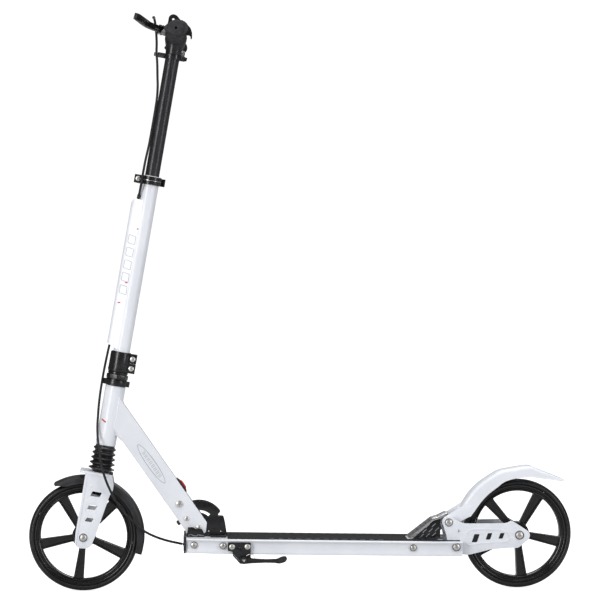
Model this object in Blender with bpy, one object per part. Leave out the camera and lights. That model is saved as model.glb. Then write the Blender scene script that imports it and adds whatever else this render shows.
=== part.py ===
"""Folding two-wheel kick scooter. Metres, +Z up, front to -X, ground at Z = 0.

The origin is on the ground midway between the wheels. Parts that steer are modelled in the frame of
the steering axis (local Z up the stem), parts on the deck in the frame of the deck's tilted top face.
"""
import math

import bmesh
import bpy
from mathutils import Vector
from mathutils.geometry import tessellate_polygon

# ---------------------------------------------------------------- driving dimensions
GAP = 0.0003                       # clearance between touching pieces
WHEELBASE = 0.7962
WHEEL_R = 0.100
TYRE_DEPTH = 0.010
TYRE_HALF_WIDTH = 0.014
RIM_HALF_WIDTH = 0.011
BEARING_R = 0.011
AXLE_R = 0.004
SPOKES = 5
FRONT_SPOKE_PHASE = math.radians(47 + 9.8)
REAR_SPOKE_PHASE = math.radians(60)

STEER_LEAN = math.radians(9.815)
FORK_OFFSET = 0.01035              # axle in front of the steering axis

CROWN_S = 0.1195                   # heights along the steering axis, from the axle's level
HEAD_LOW_S = 0.1695
HEAD_TOP_S = 0.2799
NUT_LOW_S = 0.2908
CLAMP_LOW_S = 0.3063
CLAMP_TOP_S = 0.3415
STEERER_TOP_S = 0.345
FIN_LOW_S = 0.3485
FIN_TOP_S = 0.6235
HEIGHT_CLAMP_S = (0.6525, 0.6675)
COLUMN_TOP_S = 0.6683
INNER_LOW_S = 0.530
INNER_TOP_S = 0.9075
BAR_S = 0.9253

STEERER_R = 0.0132
COLUMN_R = 0.0152
BORE_R = 0.0135
HEAD_R = 0.0185
BAR_R = 0.011
BAR_HALF = 0.2035

FOLD_PIVOT = (-0.188, 0.0, 0.115)
DOWN_TUBE_SLOPE = math.radians(54.95)
TUBE_HALF_Y = 0.016
TUBE_WALL = 0.003
TUBE_BELOW = 0.0235                # down tube faces on each side of the pivot
TUBE_ABOVE = 0.0172

DECK_TILT = 0.0168
DECK_TOP = 0.0956                  # deck top's height at the origin
DECK_FRONT = -0.2115
DECK_REAR = 0.292
DECK_HALF = 0.062
DECK_THICK = 0.0265
CROSS_BOLT_Z = -0.0112

SWING_PIVOT = (0.2798, 0.0, 0.0811)
EYE = (0.268, 0.0, 0.124)
KICK_PIVOT = (-0.1075, -0.0687, 0.0622)
LEVER_TILT = math.radians(17)
LEVER_PIVOT = 0.028                # lever pin in front of the bar
CABLE_R = 0.0022


# ---------------------------------------------------------------- mesh tools
def clear_scene():
    for obj in list(bpy.data.objects):
        bpy.data.objects.remove(obj, do_unlink=True)


def material(name, color, roughness, metallic=0.0):
    mat = bpy.data.materials.new(name)
    mat.use_nodes = True
    shader = mat.node_tree.nodes["Principled BSDF"]
    shader.inputs["Base Color"].default_value = (*color, 1.0)
    shader.inputs["Roughness"].default_value = roughness
    shader.inputs["Metallic"].default_value = metallic
    return mat


def empty(name, location, rotation=(0, 0, 0), parent=None):
    obj = bpy.data.objects.new(name, None)
    bpy.context.scene.collection.objects.link(obj)
    obj.location = location
    obj.rotation_euler = rotation
    obj.parent = parent
    return obj


def piece(name, bm, mat, parent=None, location=(0, 0, 0)):
    bmesh.ops.recalc_face_normals(bm, faces=bm.faces)
    mesh = bpy.data.meshes.new(name)
    bm.to_mesh(mesh)
    bm.free()
    mesh.shade_smooth()
    mesh.set_sharp_from_angle(angle=math.radians(35))
    obj = bpy.data.objects.new(name, mesh)
    bpy.context.scene.collection.objects.link(obj)
    if mat:
        mesh.materials.append(mat)
    obj.parent = parent
    obj.location = location
    return obj


def helper(bm, parent=None, location=(0, 0, 0)):
    """A hidden mesh that a Boolean uses."""
    obj = piece("helper", bm, None, parent, location)
    obj.hide_render = True
    obj.display_type = "WIRE"
    return obj


def boolean(obj, operation, others):
    for other in others:
        mod = obj.modifiers.new(operation.lower(), "BOOLEAN")
        mod.operation = operation
        mod.object = other
    return obj


def place(axis, a, b, t):
    """Point with plane coordinates a, b at distance t along the axis."""
    if axis == "X":
        return Vector((t, a, b))
    if axis == "Y":
        return Vector((a, t, b))
    return Vector((a, b, t))


def plate(outline, t0, t1, holes=(), axis="Y"):
    """Prism of a flat outline with through holes."""
    loops = [list(outline)] + [list(hole) for hole in holes]
    points = [p for loop in loops for p in loop]
    triangles = tessellate_polygon([[Vector((a, b, 0)) for a, b in loop] for loop in loops])
    bm = bmesh.new()
    low = [bm.verts.new(place(axis, a, b, t0)) for a, b in points]
    top = [bm.verts.new(place(axis, a, b, t1)) for a, b in points]
    for i, j, k in triangles:
        bm.faces.new((low[i], low[j], low[k]))
        bm.faces.new((top[k], top[j], top[i]))
    start = 0
    for loop in loops:
        count = len(loop)
        for i in range(count):
            here = start + i
            ahead = start + (i + 1) % count
            bm.faces.new((low[here], low[ahead], top[ahead], top[here]))
        start += count
    return bm


def loft(sections, ring=False):
    """Skin through equal point loops, capped at both ends or closed into a ring."""
    bm = bmesh.new()
    loops = [[bm.verts.new(p) for p in section] for section in sections]
    following = loops[1:] + loops[:1] if ring else loops[1:]
    for one, two in zip(loops, following):
        count = len(one)
        for i in range(count):
            j = (i + 1) % count
            bm.faces.new((one[i], one[j], two[j], two[i]))
    if not ring:
        bm.faces.new(loops[0])
        bm.faces.new(loops[-1])
    return bm


def arc(centre, radius, start, end, steps):
    """Points on an arc, angles in degrees."""
    angles = [math.radians(start + (end - start) * i / steps) for i in range(steps + 1)]
    return [(centre[0] + radius * math.cos(a), centre[1] + radius * math.sin(a)) for a in angles]


def circle(radius, segments=16, centre=(0, 0)):
    return arc(centre, radius, 0, 360 - 360 / segments, segments - 1)


def turned(profile, segments=20, axis="Z", hollow=False):
    """Turn (radius, height) points about the axis; hollow closes the outline on itself."""
    return loft([[place(axis, a, b, t) for a, b in circle(r, segments)] for r, t in profile], hollow)


def tube(inner, outer, t0, t1, segments=20, axis="Z"):
    return turned([(outer, t0), (outer, t1), (inner, t1), (inner, t0)], segments, axis, True)


def box(x, y, z):
    return plate([(x[0], z[0]), (x[1], z[0]), (x[1], z[1]), (x[0], z[1])], y[0], y[1])


def bolt(shank_r, head_r, half, head, segments=10):
    """Through bolt along Y with a head at each end."""
    ends = half + head
    profile = [(head_r * 0.8, -ends), (head_r, -ends + head * 0.4), (head_r, -half), (shank_r, -half),
               (shank_r, half), (head_r, half), (head_r, ends - head * 0.4), (head_r * 0.8, ends)]
    return turned(profile, segments, "Y")


def slanted(centre, width, height, skew):
    """Parallelogram window."""
    x, z = centre
    w, h, s = width / 2, height / 2, skew / 2
    return [(x - w - s, z - h), (x + w - s, z - h), (x + w + s, z + h), (x - w + s, z + h)]


def smooth_route(points, step):
    """Even points on a smooth curve through the given ones."""
    knots = [Vector(p) for p in points]
    knots = [knots[0] * 2 - knots[1]] + knots + [knots[-1] * 2 - knots[-2]]
    route = []
    for a, b, c, d in zip(knots, knots[1:], knots[2:], knots[3:]):
        count = max(1, round((c - b).length / step))
        for i in range(count):
            t = i / count
            route.append(0.5 * (2 * b + (c - a) * t + (2 * a - 5 * b + 4 * c - d) * t * t
                                + (3 * b - a - 3 * c + d) * t ** 3))
    route.append(knots[-2])
    return route


def cable(name, points, mat, parent=None):
    curve = bpy.data.curves.new(name, "CURVE")
    curve.dimensions = "3D"
    curve.bevel_depth = CABLE_R
    curve.bevel_resolution = 1
    curve.use_fill_caps = True
    route = smooth_route(points, 5 * CABLE_R)
    spline = curve.splines.new("POLY")
    spline.points.add(len(route) - 1)
    for point, co in zip(spline.points, route):
        point.co = (*co, 1.0)
    curve.materials.append(mat)
    obj = bpy.data.objects.new(name, curve)
    bpy.context.scene.collection.objects.link(obj)
    obj.parent = parent
    return obj


# ---------------------------------------------------------------- materials
def make_materials():
    return {
        "white": material("white_paint", (0.76, 0.78, 0.81), 0.35),
        "black": material("black_paint", (0.015, 0.015, 0.017), 0.35),
        "plastic": material("black_plastic", (0.02, 0.02, 0.022), 0.5),
        "rubber": material("black_rubber", (0.02, 0.02, 0.02), 0.7),
        "tape": material("grip_tape", (0.02, 0.02, 0.021), 0.9),
        "steel": material("bolt_steel", (0.62, 0.6, 0.57), 0.3, 1.0),
        "silver": material("silver_edge", (0.72, 0.72, 0.72), 0.3, 1.0),
        "red": material("red_plastic", (0.7, 0.03, 0.03), 0.4),
        "tyre": material("tyre_rubber", (0.015, 0.015, 0.016), 0.55),
    }


# ---------------------------------------------------------------- wheels
def wheel(prefix, mats, parent, location, phase):
    """Tyre, spoked rim and hub bearings about a local Y axis."""
    rim_r = WHEEL_R - TYRE_DEPTH
    y = TYRE_HALF_WIDTH
    profile = [(rim_r, -0.0115), (rim_r + 0.004, -y), (rim_r + 0.0075, -0.0115), (WHEEL_R - 0.0006, -0.006),
               (WHEEL_R, 0), (WHEEL_R - 0.0006, 0.006), (rim_r + 0.0075, 0.0115), (rim_r + 0.004, y),
               (rim_r, 0.0115)]
    piece(prefix + "_tyre", turned(profile, 40, "Y", True), mats["tyre"], parent, location)
    windows = []
    for i in range(SPOKES):
        start = math.degrees(phase) + i * 360 / SPOKES
        end = start + 360 / SPOKES
        outer, inner = 0.0795, 0.0205
        rim_side = math.degrees(math.asin(0.0092 / outer))
        hub_side = math.degrees(math.asin(0.0056 / inner))
        windows.append(arc((0, 0), outer, start + rim_side, end - rim_side, 6)
                       + arc((0, 0), inner, end - hub_side, start + hub_side, 2))
    hub = circle(BEARING_R + GAP, 20)
    disc = plate(circle(rim_r - GAP, 48), -RIM_HALF_WIDTH, RIM_HALF_WIDTH, windows + [hub])
    piece(prefix + "_rim", disc, mats["black"], parent, location)
    bearing = tube(AXLE_R + GAP, BEARING_R, -RIM_HALF_WIDTH, RIM_HALF_WIDTH, 20, "Y")
    piece(prefix + "_bearings", bearing, mats["steel"], parent, location)


# ---------------------------------------------------------------- fork and front wheel
FORK_LEG = [(-0.026, 0.117), (-0.0255, 0.060), (-0.0254, 0.005), (-0.0235, -0.015), (-0.0145, -0.0204),
            (0.0011, -0.0180), (0.0064, -0.0116), (0.0110, 0.0078), (0.0238, 0.0831), (0.0280, 0.0929),
            (0.0277, 0.1030), (0.0225, 0.117)]
LEG_INNER = 0.030
LEG_OUTER = 0.033


def fork(mats, steering):
    axle = (-FORK_OFFSET, 0, 0)
    windows = [slanted((-0.0010, 0.0812), 0.0165, 0.0084, 0.003),
               slanted((-0.0038, 0.0566), 0.0142, 0.0077, 0.003),
               slanted((-0.0053, 0.0334), 0.0120, 0.0066, 0.003),
               circle(0.0022, 8, (-0.0121, 0.0951)),
               circle(AXLE_R + GAP, 12, (-FORK_OFFSET, 0))]
    crown = [(-0.037, -0.030), (-0.030, -0.0345), (0.016, -0.0345), (0.0225, -0.028),
             (0.0225, 0.028), (0.016, 0.0345), (-0.030, 0.0345), (-0.037, 0.030)]
    body = piece("fork", plate(crown, CROWN_S - 0.004, CROWN_S, axis="Z"), mats["white"], steering)
    legs = [helper(plate(FORK_LEG, side * LEG_INNER, side * LEG_OUTER, windows), steering) for side in (-1, 1)]
    boolean(body, "UNION", legs)
    slider = turned([(0.0105, CROWN_S + GAP), (0.0105, 0.2250)], 20)
    piece("fork_slider", slider, mats["steel"], steering)
    piece("front_axle", bolt(AXLE_R, 0.006, LEG_OUTER + GAP, 0.0042), mats["steel"], steering, axle)
    front_fender(mats, steering, axle)
    wheel("front", mats, steering, axle, FRONT_SPOKE_PHASE)


def channel_section(half, skin, low_r, top_r, angle):
    """U section of a mudguard at one angle about the wheel's axle."""
    flat = [(-half, low_r), (-half, top_r), (half, top_r), (half, low_r),
            (half - skin, low_r), (half - skin, top_r - skin), (skin - half, top_r - skin), (skin - half, low_r)]
    return [(r * math.cos(angle), y, r * math.sin(angle)) for y, r in flat]


def front_fender(mats, steering, axle):
    stations = [(-8, 0.0975), (8, 0.0968), (26, 0.0965), (44, 0.0965), (62, 0.0965), (80, 0.0965),
                (98, 0.0965), (114, 0.0968), (122, 0.0990), (129, 0.1060)]
    sections = [channel_section(0.024, 0.002, low, 0.1105, math.radians(angle)) for angle, low in stations]
    fender = piece("front_fender", loft(sections), mats["plastic"], steering, axle)
    block = helper(box((-0.010, 0.010), (-0.012, 0.012), (0.1085, CROWN_S - 0.004 - GAP)), steering)
    boolean(fender, "UNION", [block])


# ---------------------------------------------------------------- steering column
def steering_column(mats, steering):
    cup = [(BAR_R, 0.335), (BAR_R, HEAD_LOW_S + 0.001), (STEERER_R, HEAD_LOW_S + 0.001),
           (STEERER_R, STEERER_TOP_S)]
    piece("steerer_tube", turned(cup, 24), mats["steel"], steering)
    piece("headset_nut", tube(BORE_R, 0.018, NUT_LOW_S, CLAMP_LOW_S - GAP, 20), mats["black"], steering)
    arm = [(-0.0234, -0.004), (-0.0234, 0.004), (-0.0190, 0.0085)]
    tab = [(0.0195, 0.0070), (0.0240, 0.0050), (0.0240, -0.0050), (0.0195, -0.0070)]
    outline = arc((0, 0), 0.0208, 204, 340, 8) + tab[::-1] + arc((0, 0), 0.0208, 20, 156, 8) + arm[::-1]
    ring = plate(outline, HEAD_TOP_S + GAP, NUT_LOW_S - GAP, [circle(BORE_R, 20)], "Z")
    piece("headset_ring", ring, mats["black"], steering)
    column_clamp(mats, steering)
    column(mats, steering)
    height_clamp(mats, steering)
    piece("boot", boot(), mats["rubber"], steering)
    piece("fork_spring", coil(0.0086, 0.0012, 0.2253, 0.3345, 6), mats["steel"], steering)


def column_clamp(mats, steering):
    """Split collar with ears behind, cut across between its two bolts."""
    split = 0.0008
    ear = 0.0110
    inner = arc((0, 0), COLUMN_R + GAP, -3, -357, 24)
    outer = arc((0, 0), 0.0192, 36, 324, 18)
    outline = [(0.0298, split), (0.0298, ear)] + outer + [(0.0298, -ear), (0.0298, -split)] + inner
    clamp = piece("column_clamp", plate(outline, CLAMP_LOW_S, CLAMP_TOP_S, axis="Z"), mats["black"], steering)
    middle = (CLAMP_LOW_S + CLAMP_TOP_S) / 2
    cutters = [helper(box((0.0175, 0.032), (-0.02, 0.02), (middle - 0.0005, middle + 0.0005)), steering)]
    for name, height in (("column_clamp_bolt_low", 0.3152), ("column_clamp_bolt_high", 0.3327)):
        hole = plate(circle(0.0029, 12), -0.02, 0.02)
        cutters.append(helper(hole, steering, (0.0225, 0, height)))
        piece(name, bolt(0.0026, 0.0050, ear + GAP, 0.0030, 10), mats["steel"], steering, (0.0225, 0, height))
    boolean(clamp, "DIFFERENCE", cutters)


def column(mats, steering):
    """White telescope tube with the cable fairing along its front."""
    body = piece("column_tube", tube(BORE_R, COLUMN_R, CLAMP_LOW_S + GAP, COLUMN_TOP_S, 28), mats["white"],
                 steering)
    inside = arc((0, 0), 0.0143, 112, 248, 8)
    nose = [(-0.0262, -0.0092), (-0.0285, -0.0060), (-0.0290, 0.0), (-0.0285, 0.0060), (-0.0262, 0.0092)]
    outline = inside + nose
    low = [(x, y, FIN_LOW_S - 0.5 * (x + 0.015)) for x, y in outline]
    top = [(x, y, FIN_TOP_S) for x, y in outline]
    boolean(body, "UNION", [helper(loft([low, top]), steering)])


def height_clamp(mats, steering):
    """Split collar with ears in front, closed by a skewer with a cam lever."""
    split = 0.0010
    low, top = HEIGHT_CLAMP_S
    inner = arc((0, 0), COLUMN_R + GAP, 176, -176, 24)
    outer = arc((0, 0), 0.0182, -140, 140, 18)
    outline = [(-0.0310, -split), (-0.0310, -0.0115)] + outer + [(-0.0310, 0.0115), (-0.0310, split)] + inner
    clamp = piece("height_clamp", plate(outline, low, top, axis="Z"), mats["black"], steering)
    place_s = (low + top) / 2
    skewer = (-0.0240, 0, place_s)
    boolean(clamp, "DIFFERENCE", [helper(plate(circle(0.0029, 12), -0.02, 0.02), steering, skewer)])
    profile = [(0.0040, -0.0152), (0.0048, -0.0140), (0.0048, -0.0118), (0.0026, -0.0118), (0.0026, 0.0150)]
    piece("clamp_skewer", turned(profile, 12, "Y"), mats["steel"], steering, skewer)
    hub = arc((0, 0.0206), 0.0052, 190, 360, 8)
    outline = hub + [(0.0180, 0.0220), (0.0360, 0.0215), (0.0480, 0.0160), (0.0502, 0.0185),
                     (0.0440, 0.0250), (0.0250, 0.0265), (0.0010, 0.0262)]
    lever = plate(outline, low + 0.0005, top - 0.0005, axis="Z")
    piece("quick_release_lever", lever, mats["black"], steering, (skewer[0], 0, 0))


def boot():
    """Folded rubber sleeve between head tube and fork crown, open at both ends."""
    ridges = 5
    low, top = CROWN_S + GAP, HEAD_LOW_S - GAP
    pitch = (top - low) / (ridges + 0.4)
    outer = [(0.0150, low)]
    for i in range(ridges):
        base = low + 0.25 * pitch + i * pitch
        outer += [(0.0172 if i else 0.0155, base), (0.0243 - 0.0009 * i, base + pitch / 2)]
    outer.append((0.0180, top))
    inner = [(r - 0.0012, h) for r, h in reversed(outer)]
    return turned(outer + inner, 16, "Z", True)


def coil(radius, wire, low, top, turns):
    """Compression spring as a swept wire."""
    steps = 8
    sides = 4
    sections = []
    for i in range(turns * steps + 1):
        angle = 2 * math.pi * i / steps
        centre = Vector((0, 0, low + wire + (top - low - 2 * wire) * i / (turns * steps)))
        out = Vector((math.cos(angle), math.sin(angle), 0))
        ring = []
        for k in range(sides):
            around = 2 * math.pi * k / sides
            ring.append(centre + out * (radius + wire * math.cos(around)) + Vector((0, 0, wire * math.sin(around))))
        sections.append(ring)
    return loft(sections)


# ---------------------------------------------------------------- handlebar
def handlebar(mats, steering):
    piece("inner_tube", tube(0.0112, STEERER_R, INNER_LOW_S, INNER_TOP_S, 24), mats["black"], steering)
    bar = empty("bar_axis", (0, 0, BAR_S), parent=steering)
    body = piece("handlebar", tube(0.009, BAR_R, -BAR_HALF, BAR_HALF, 20, "Y"), mats["black"], bar)
    bore = INNER_TOP_S + GAP - BAR_S
    socket = [(BORE_R, bore), (BORE_R, -0.0300), (0.0150, -0.0300), (0.0172, -0.0200), (0.0210, -0.0060),
              (0.0200, 0.0050), (0.0120, 0.0150)]
    boolean(body, "UNION", [helper(turned(socket, 24), bar)])
    for name, side in (("grip_left", -1), ("grip_right", 1)):
        grip = [(BAR_R + GAP, BAR_HALF + GAP), (BAR_R + GAP, 0.094), (0.0185, 0.094), (0.0185, 0.099),
                (0.0152, 0.102), (0.0148, 0.150), (0.0152, 0.199), (0.0182, 0.203), (0.0182, 0.2065),
                (0.0150, 0.2085)]
        piece(name, turned([(r, side * t) for r, t in grip], 20, "Y"), mats["rubber"], bar)
    brake(mats, bar)
    cable_collar(mats, steering)


def brake(mats, bar):
    """Clamp with the lever's fork and a tab, and the lever on its pin."""
    upright = empty("perch_frame", (0, 0, 0), (0, -STEER_LEAN, 0), bar)
    hole = circle(BAR_R + GAP, 20)
    outline = (arc((0, 0), 0.0165, 180, 330, 8) + [(0.0210, -0.0040), (0.0265, -0.0030), (0.0288, 0.0045)]
               + [(0.0262, 0.0120), (0.0205, 0.0165), (0.0100, 0.0225), (0.0022, 0.0322)]
               + arc((-0.0047, 0.0262), 0.0086, 60, 180, 6) + [(-0.0150, 0.0180), (-0.0165, 0.0100)])
    tab_hole = circle(0.0021, 8, (-0.0047, 0.0262))
    perch = piece("brake_perch", plate(outline, -0.0935, -0.0835, [hole, tab_hole]), mats["black"], upright)
    plane = empty("lever_plane", (0, 0, 0), (0, math.pi + LEVER_TILT, 0), upright)
    pin = turned([(0.0025, -0.0080), (0.0025, 0.0080)], 10)
    arm = plate([(0.0140, -0.0900), (0.0140, -0.0700), (0.0340, -0.0700), (0.0340, -0.0835)], 0.0058, 0.0080,
                axis="Z")
    arm_low = plate([(0.0140, -0.0900), (0.0140, -0.0700), (0.0340, -0.0700), (0.0340, -0.0835)], -0.0080,
                    -0.0058, axis="Z")
    pivot = (LEVER_PIVOT, -0.0765, 0)
    boolean(perch, "UNION", [helper(arm, plane), helper(arm_low, plane), helper(pin, plane, pivot)])
    blade = [(-0.0050, 0.0040), (-0.0050, -0.0060), (0.0060, -0.0180), (0.0200, -0.0290), (0.0255, -0.0560),
             (0.0370, -0.1080), (0.0440, -0.1180), (0.0490, -0.1170), (0.0480, -0.1080), (0.0380, -0.0540),
             (0.0320, -0.0260), (0.0260, -0.0060), (0.0140, 0.0060), (0.0040, 0.0062)]
    lever = plate(blade, -0.0055, 0.0055, [circle(0.0028, 10)], "Z")
    piece("brake_lever", lever, mats["black"], plane, pivot)


def cable_collar(mats, steering):
    """Ring on the inner tube with an arm that guides the cable."""
    outline = (arc((0, 0), 0.0162, 196, 344, 8) + [(0.0225, -0.0025), (0.0225, 0.0025)]
               + arc((0, 0), 0.0162, 16, 164, 8) + [(-0.0250, 0.0030), (-0.0250, -0.0030)])
    ring = plate(outline, 0.8855, 0.8945, [circle(BORE_R, 20)], "Z")
    piece("cable_collar", ring, mats["black"], steering)


# ---------------------------------------------------------------- front frame
def tube_point(along, across):
    """Down tube coordinates to X, Z about the fold pivot."""
    c, s = math.cos(DOWN_TUBE_SLOPE), math.sin(DOWN_TUBE_SLOPE)
    return (-c * along + s * across, s * along + c * across)


def front_frame(mats, pivot, steering):
    head = piece("main_frame", tube(0.016, HEAD_R, HEAD_LOW_S, HEAD_TOP_S, 28), mats["white"], steering)
    high, low = TUBE_ABOVE, -TUBE_BELOW
    side = [tube_point(a, b) for a, b in ((0.2534, low), (0.2932, high), (-0.0006, high), (-0.0140, 0.0055),
                                          (-0.0140, -0.0050), (-0.0100, -0.0120), (0.0, low))]
    room = [tube_point(a, b) for a, b in ((0.235, low + TUBE_WALL), (0.235, high - TUBE_WALL),
                                          (-0.05, high - TUBE_WALL), (-0.05, low + TUBE_WALL))]
    slot = [tube_point(a, b) for a, b in ((0.062, low - 0.01), (0.062, high + 0.01), (-0.05, high + 0.01),
                                          (-0.05, low - 0.01))]
    window = [tube_point(a, b) for a, b in ((0.070, high - 0.01), (0.070, high + 0.01), (0.091, high + 0.01),
                                            (0.091, high - 0.01))]
    inner = TUBE_HALF_Y - TUBE_WALL
    gusset = [tube_point(a, b) for a, b in ((0.205, low + 0.002), (0.245, low + 0.002), (0.245, low - 0.006),
                                            (0.225, low - 0.004))]
    solid = helper(plate(side, -TUBE_HALF_Y, TUBE_HALF_Y), pivot)
    web = helper(plate(gusset, -0.012, 0.012), pivot)
    bore = helper(turned([(0.016, 0.1), (0.016, 0.33)], 28), steering)
    cuts = [helper(plate(room, -inner, inner), pivot), helper(plate(slot, -inner, inner), pivot),
            helper(plate(window, -0.0075, 0.0075), pivot), bore]
    pins = (("fold_pivot_bolt", (0, 0), 0.0040), ("guide_pin", (-0.0225, 0.0167), 0.0030),
            ("pawl_bolt", (-0.0357, 0.0434), 0.0030))
    for name, (x, z), radius in pins:
        cuts.append(helper(plate(circle(radius + GAP, 14), -0.03, 0.03), pivot, (x, 0, z)))
        head_r = 0.0064 if name == "pawl_bolt" else 0.0048
        pin = bolt(radius, head_r, TUBE_HALF_Y + GAP, 0.0030)
        piece(name, pin, mats["steel"], pivot, (x, 0, z))
    boolean(head, "UNION", [solid, web])
    boolean(head, "DIFFERENCE", cuts)
    for name, height in (("headset_bearing_low", HEAD_LOW_S + 0.001), ("headset_bearing_high", 0.2715)):
        piece(name, tube(BORE_R, 0.0157, height, height + 0.0075, 20), mats["steel"], steering)
    release(mats, pivot)


def release(mats, pivot):
    """Red release button in its bezel on the down tube's rear face, and the pawl it lifts."""
    face = empty("button_face", (0, 0, 0), (0, DOWN_TUBE_SLOPE - math.pi / 2, 0), pivot)
    high = TUBE_ABOVE + GAP
    rim = [(high, 0.0650), (high, 0.0970), (high + 0.0022, 0.0950), (high + 0.0022, 0.0670)]
    bezel = piece("release_bezel", plate(rim, -0.0120, 0.0120), mats["plastic"], face)
    boolean(bezel, "DIFFERENCE", [helper(box((0.01, 0.03), (-0.0073, 0.0073), (0.0702, 0.0908)), face)])
    crown = [(high - 0.0080, 0.0706), (high + 0.0040, 0.0706), (high + 0.0056, 0.0740), (high + 0.0056, 0.0870),
             (high + 0.0040, 0.0904), (high - 0.0080, 0.0904)]
    piece("release_button", plate(crown, -0.0069, 0.0069), mats["red"], face)
    pawl_pin = (-0.0357, 0.0434)
    outline = arc((0, 0), 0.0058, 20, 250, 8) + [(0.0060, -0.0020), (0.0165, 0.0022), (0.0165, 0.0060)]
    hole = circle(0.0033, 10)
    piece("lock_pawl", plate(outline, -0.0125, 0.0125, [hole]), mats["steel"], pivot,
          (pawl_pin[0], 0, pawl_pin[1]))


# ---------------------------------------------------------------- deck
def deck_half(x):
    """Half width of the deck, drawn in towards both ends."""
    front = max(0.0, (-0.120 - x) / 0.093)
    rear = max(0.0, (x - 0.215) / 0.077)
    return DECK_HALF - 0.013 * front ** 2 - 0.007 * rear ** 2


def deck_side(x):
    """Where a cross bolt's head sits on the deck's side."""
    return max(deck_half(x - 0.006), deck_half(x + 0.006)) - 0.0020


def deck_section(x, outer):
    half = deck_half(x)
    if outer:
        side = [(half, 0.0), (half, -0.0028), (half - 0.0030, -0.0060), (half - 0.0042, -0.0130),
                (half - 0.0034, -DECK_THICK)]
    else:
        side = [(half - 0.0070, -0.0030), (half - 0.0071, -0.0050), (half - 0.0072, -0.0080),
                (half - 0.0073, -0.0130), (half - 0.0074, 0.0030 - DECK_THICK)]
    return [(x, y, z) for y, z in side] + [(x, -y, z) for y, z in reversed(side)]


def deck(mats, base):
    stations = [DECK_FRONT, -0.185, -0.150, -0.120, 0.215, 0.255, DECK_REAR]
    outer = [deck_section(x, True) for x in stations]
    inner = [deck_section(x, False) for x in reversed(stations)]
    body = piece("deck_frame", loft(outer + inner, True), mats["white"], base)
    notch = helper(box((0.2585, 0.31), (-0.0385, 0.0385), (-0.05, 0.02)), base)
    cuts = [notch]
    for name, x in (("deck_bolt_front", -0.1975), ("deck_bolt_middle", -0.145), ("deck_bolt_rear", 0.2007)):
        half = deck_side(x)
        cuts.append(helper(plate(circle(0.0031, 10), -0.08, 0.08), base, (x, 0, CROSS_BOLT_Z)))
        piece(name, bolt(0.0028, 0.0057, half, 0.0032), mats["steel"], base, (x, 0, CROSS_BOLT_Z))
    cuts.append(helper(plate(circle(0.0043, 12), -0.08, 0.08), location=SWING_PIVOT))
    piece("swing_arm_bolt", bolt(0.0040, 0.0060, deck_side(SWING_PIVOT[0]), 0.0032), mats["steel"], None, SWING_PIVOT)
    boolean(body, "DIFFERENCE", cuts)
    half = deck_half(DECK_FRONT)
    cap = [(-half, -0.0275), (half, -0.0275), (half + 0.001, 0.0035), (-half - 0.001, 0.0035)]
    hole = circle(CABLE_R + 0.0005, 8, (0, -0.0160))
    piece("deck_front_cap", plate(cap, DECK_FRONT - 0.0038, DECK_FRONT - GAP, [hole], "X"), mats["plastic"], base)
    outline = [(-0.1365, -0.050), (0.2500, -0.050), (0.2880, -0.046), (0.2880, -0.0395), (0.2480, -0.0395),
               (0.2480, -0.0300), (0.1930, -0.0300), (0.1930, 0.0300), (0.2480, 0.0300), (0.2480, 0.0395),
               (0.2880, 0.0395), (0.2880, 0.046), (0.2500, 0.050), (-0.1365, 0.050)]
    piece("grip_tape", plate(outline, GAP, GAP + 0.0009, axis="Z"), mats["tape"], base)


def fold_hardware(mats, pivot):
    """Quadrant with lock notches and the cheeks that flank the tube's foot."""
    floor = -0.0158
    lock = [(44.5, 116), (43.0, 112), (44.5, 108)]
    second = [(0.0352, 0.0246), (0.0352, 0.0194), (0.0404, 0.0194), (0.0450, 0.0188)]
    rim = [polar(48.5, a) for a in (104, 90, 76, 62, 48, 35)]
    outline = [polar(48.5, 122)] + [polar(*p) for p in lock] + rim + second
    outline += [(0.0480, 0.0073), (0.0514, floor), (-0.0140, floor), (-0.0300, 0.0060)]
    slot = ([polar(31.4, a) for a in (150, 132, 114, 96, 78, 60, 45)]
            + [polar(24.6, a) for a in (45, 60, 78, 96, 114, 132, 150)])
    holes = [slot, circle(0.0043, 14)]
    quadrant = piece("fold_quadrant", plate(outline, -0.0120, -0.0085, holes), mats["black"], pivot)
    twin = helper(plate(outline, 0.0085, 0.0120, holes), pivot)
    sill = helper(box((0.0200, 0.0500), (-0.0300, 0.0300), (floor, floor + 0.0030)), pivot)
    boolean(quadrant, "UNION", [twin, sill])
    cheek = [(-0.0224, floor), (-0.0216, -0.0080), (-0.0200, 0.0018), (-0.0105, 0.0018), (-0.0060, -0.0014),
             (0.0052, -0.0014), (0.0082, -0.0074), (0.0105, floor)]
    base = piece("fold_base", plate(cheek, -0.0260, -0.0224), mats["black"], pivot)
    front = helper(box((-0.0226, -0.0206), (-0.0250, 0.0250), (floor, -0.0125)), pivot)
    boolean(base, "UNION", [helper(plate(cheek, 0.0224, 0.0260), pivot), front])


def polar(radius_mm, degrees):
    angle = math.radians(degrees)
    return (radius_mm * 0.001 * math.cos(angle), radius_mm * 0.001 * math.sin(angle))


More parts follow.
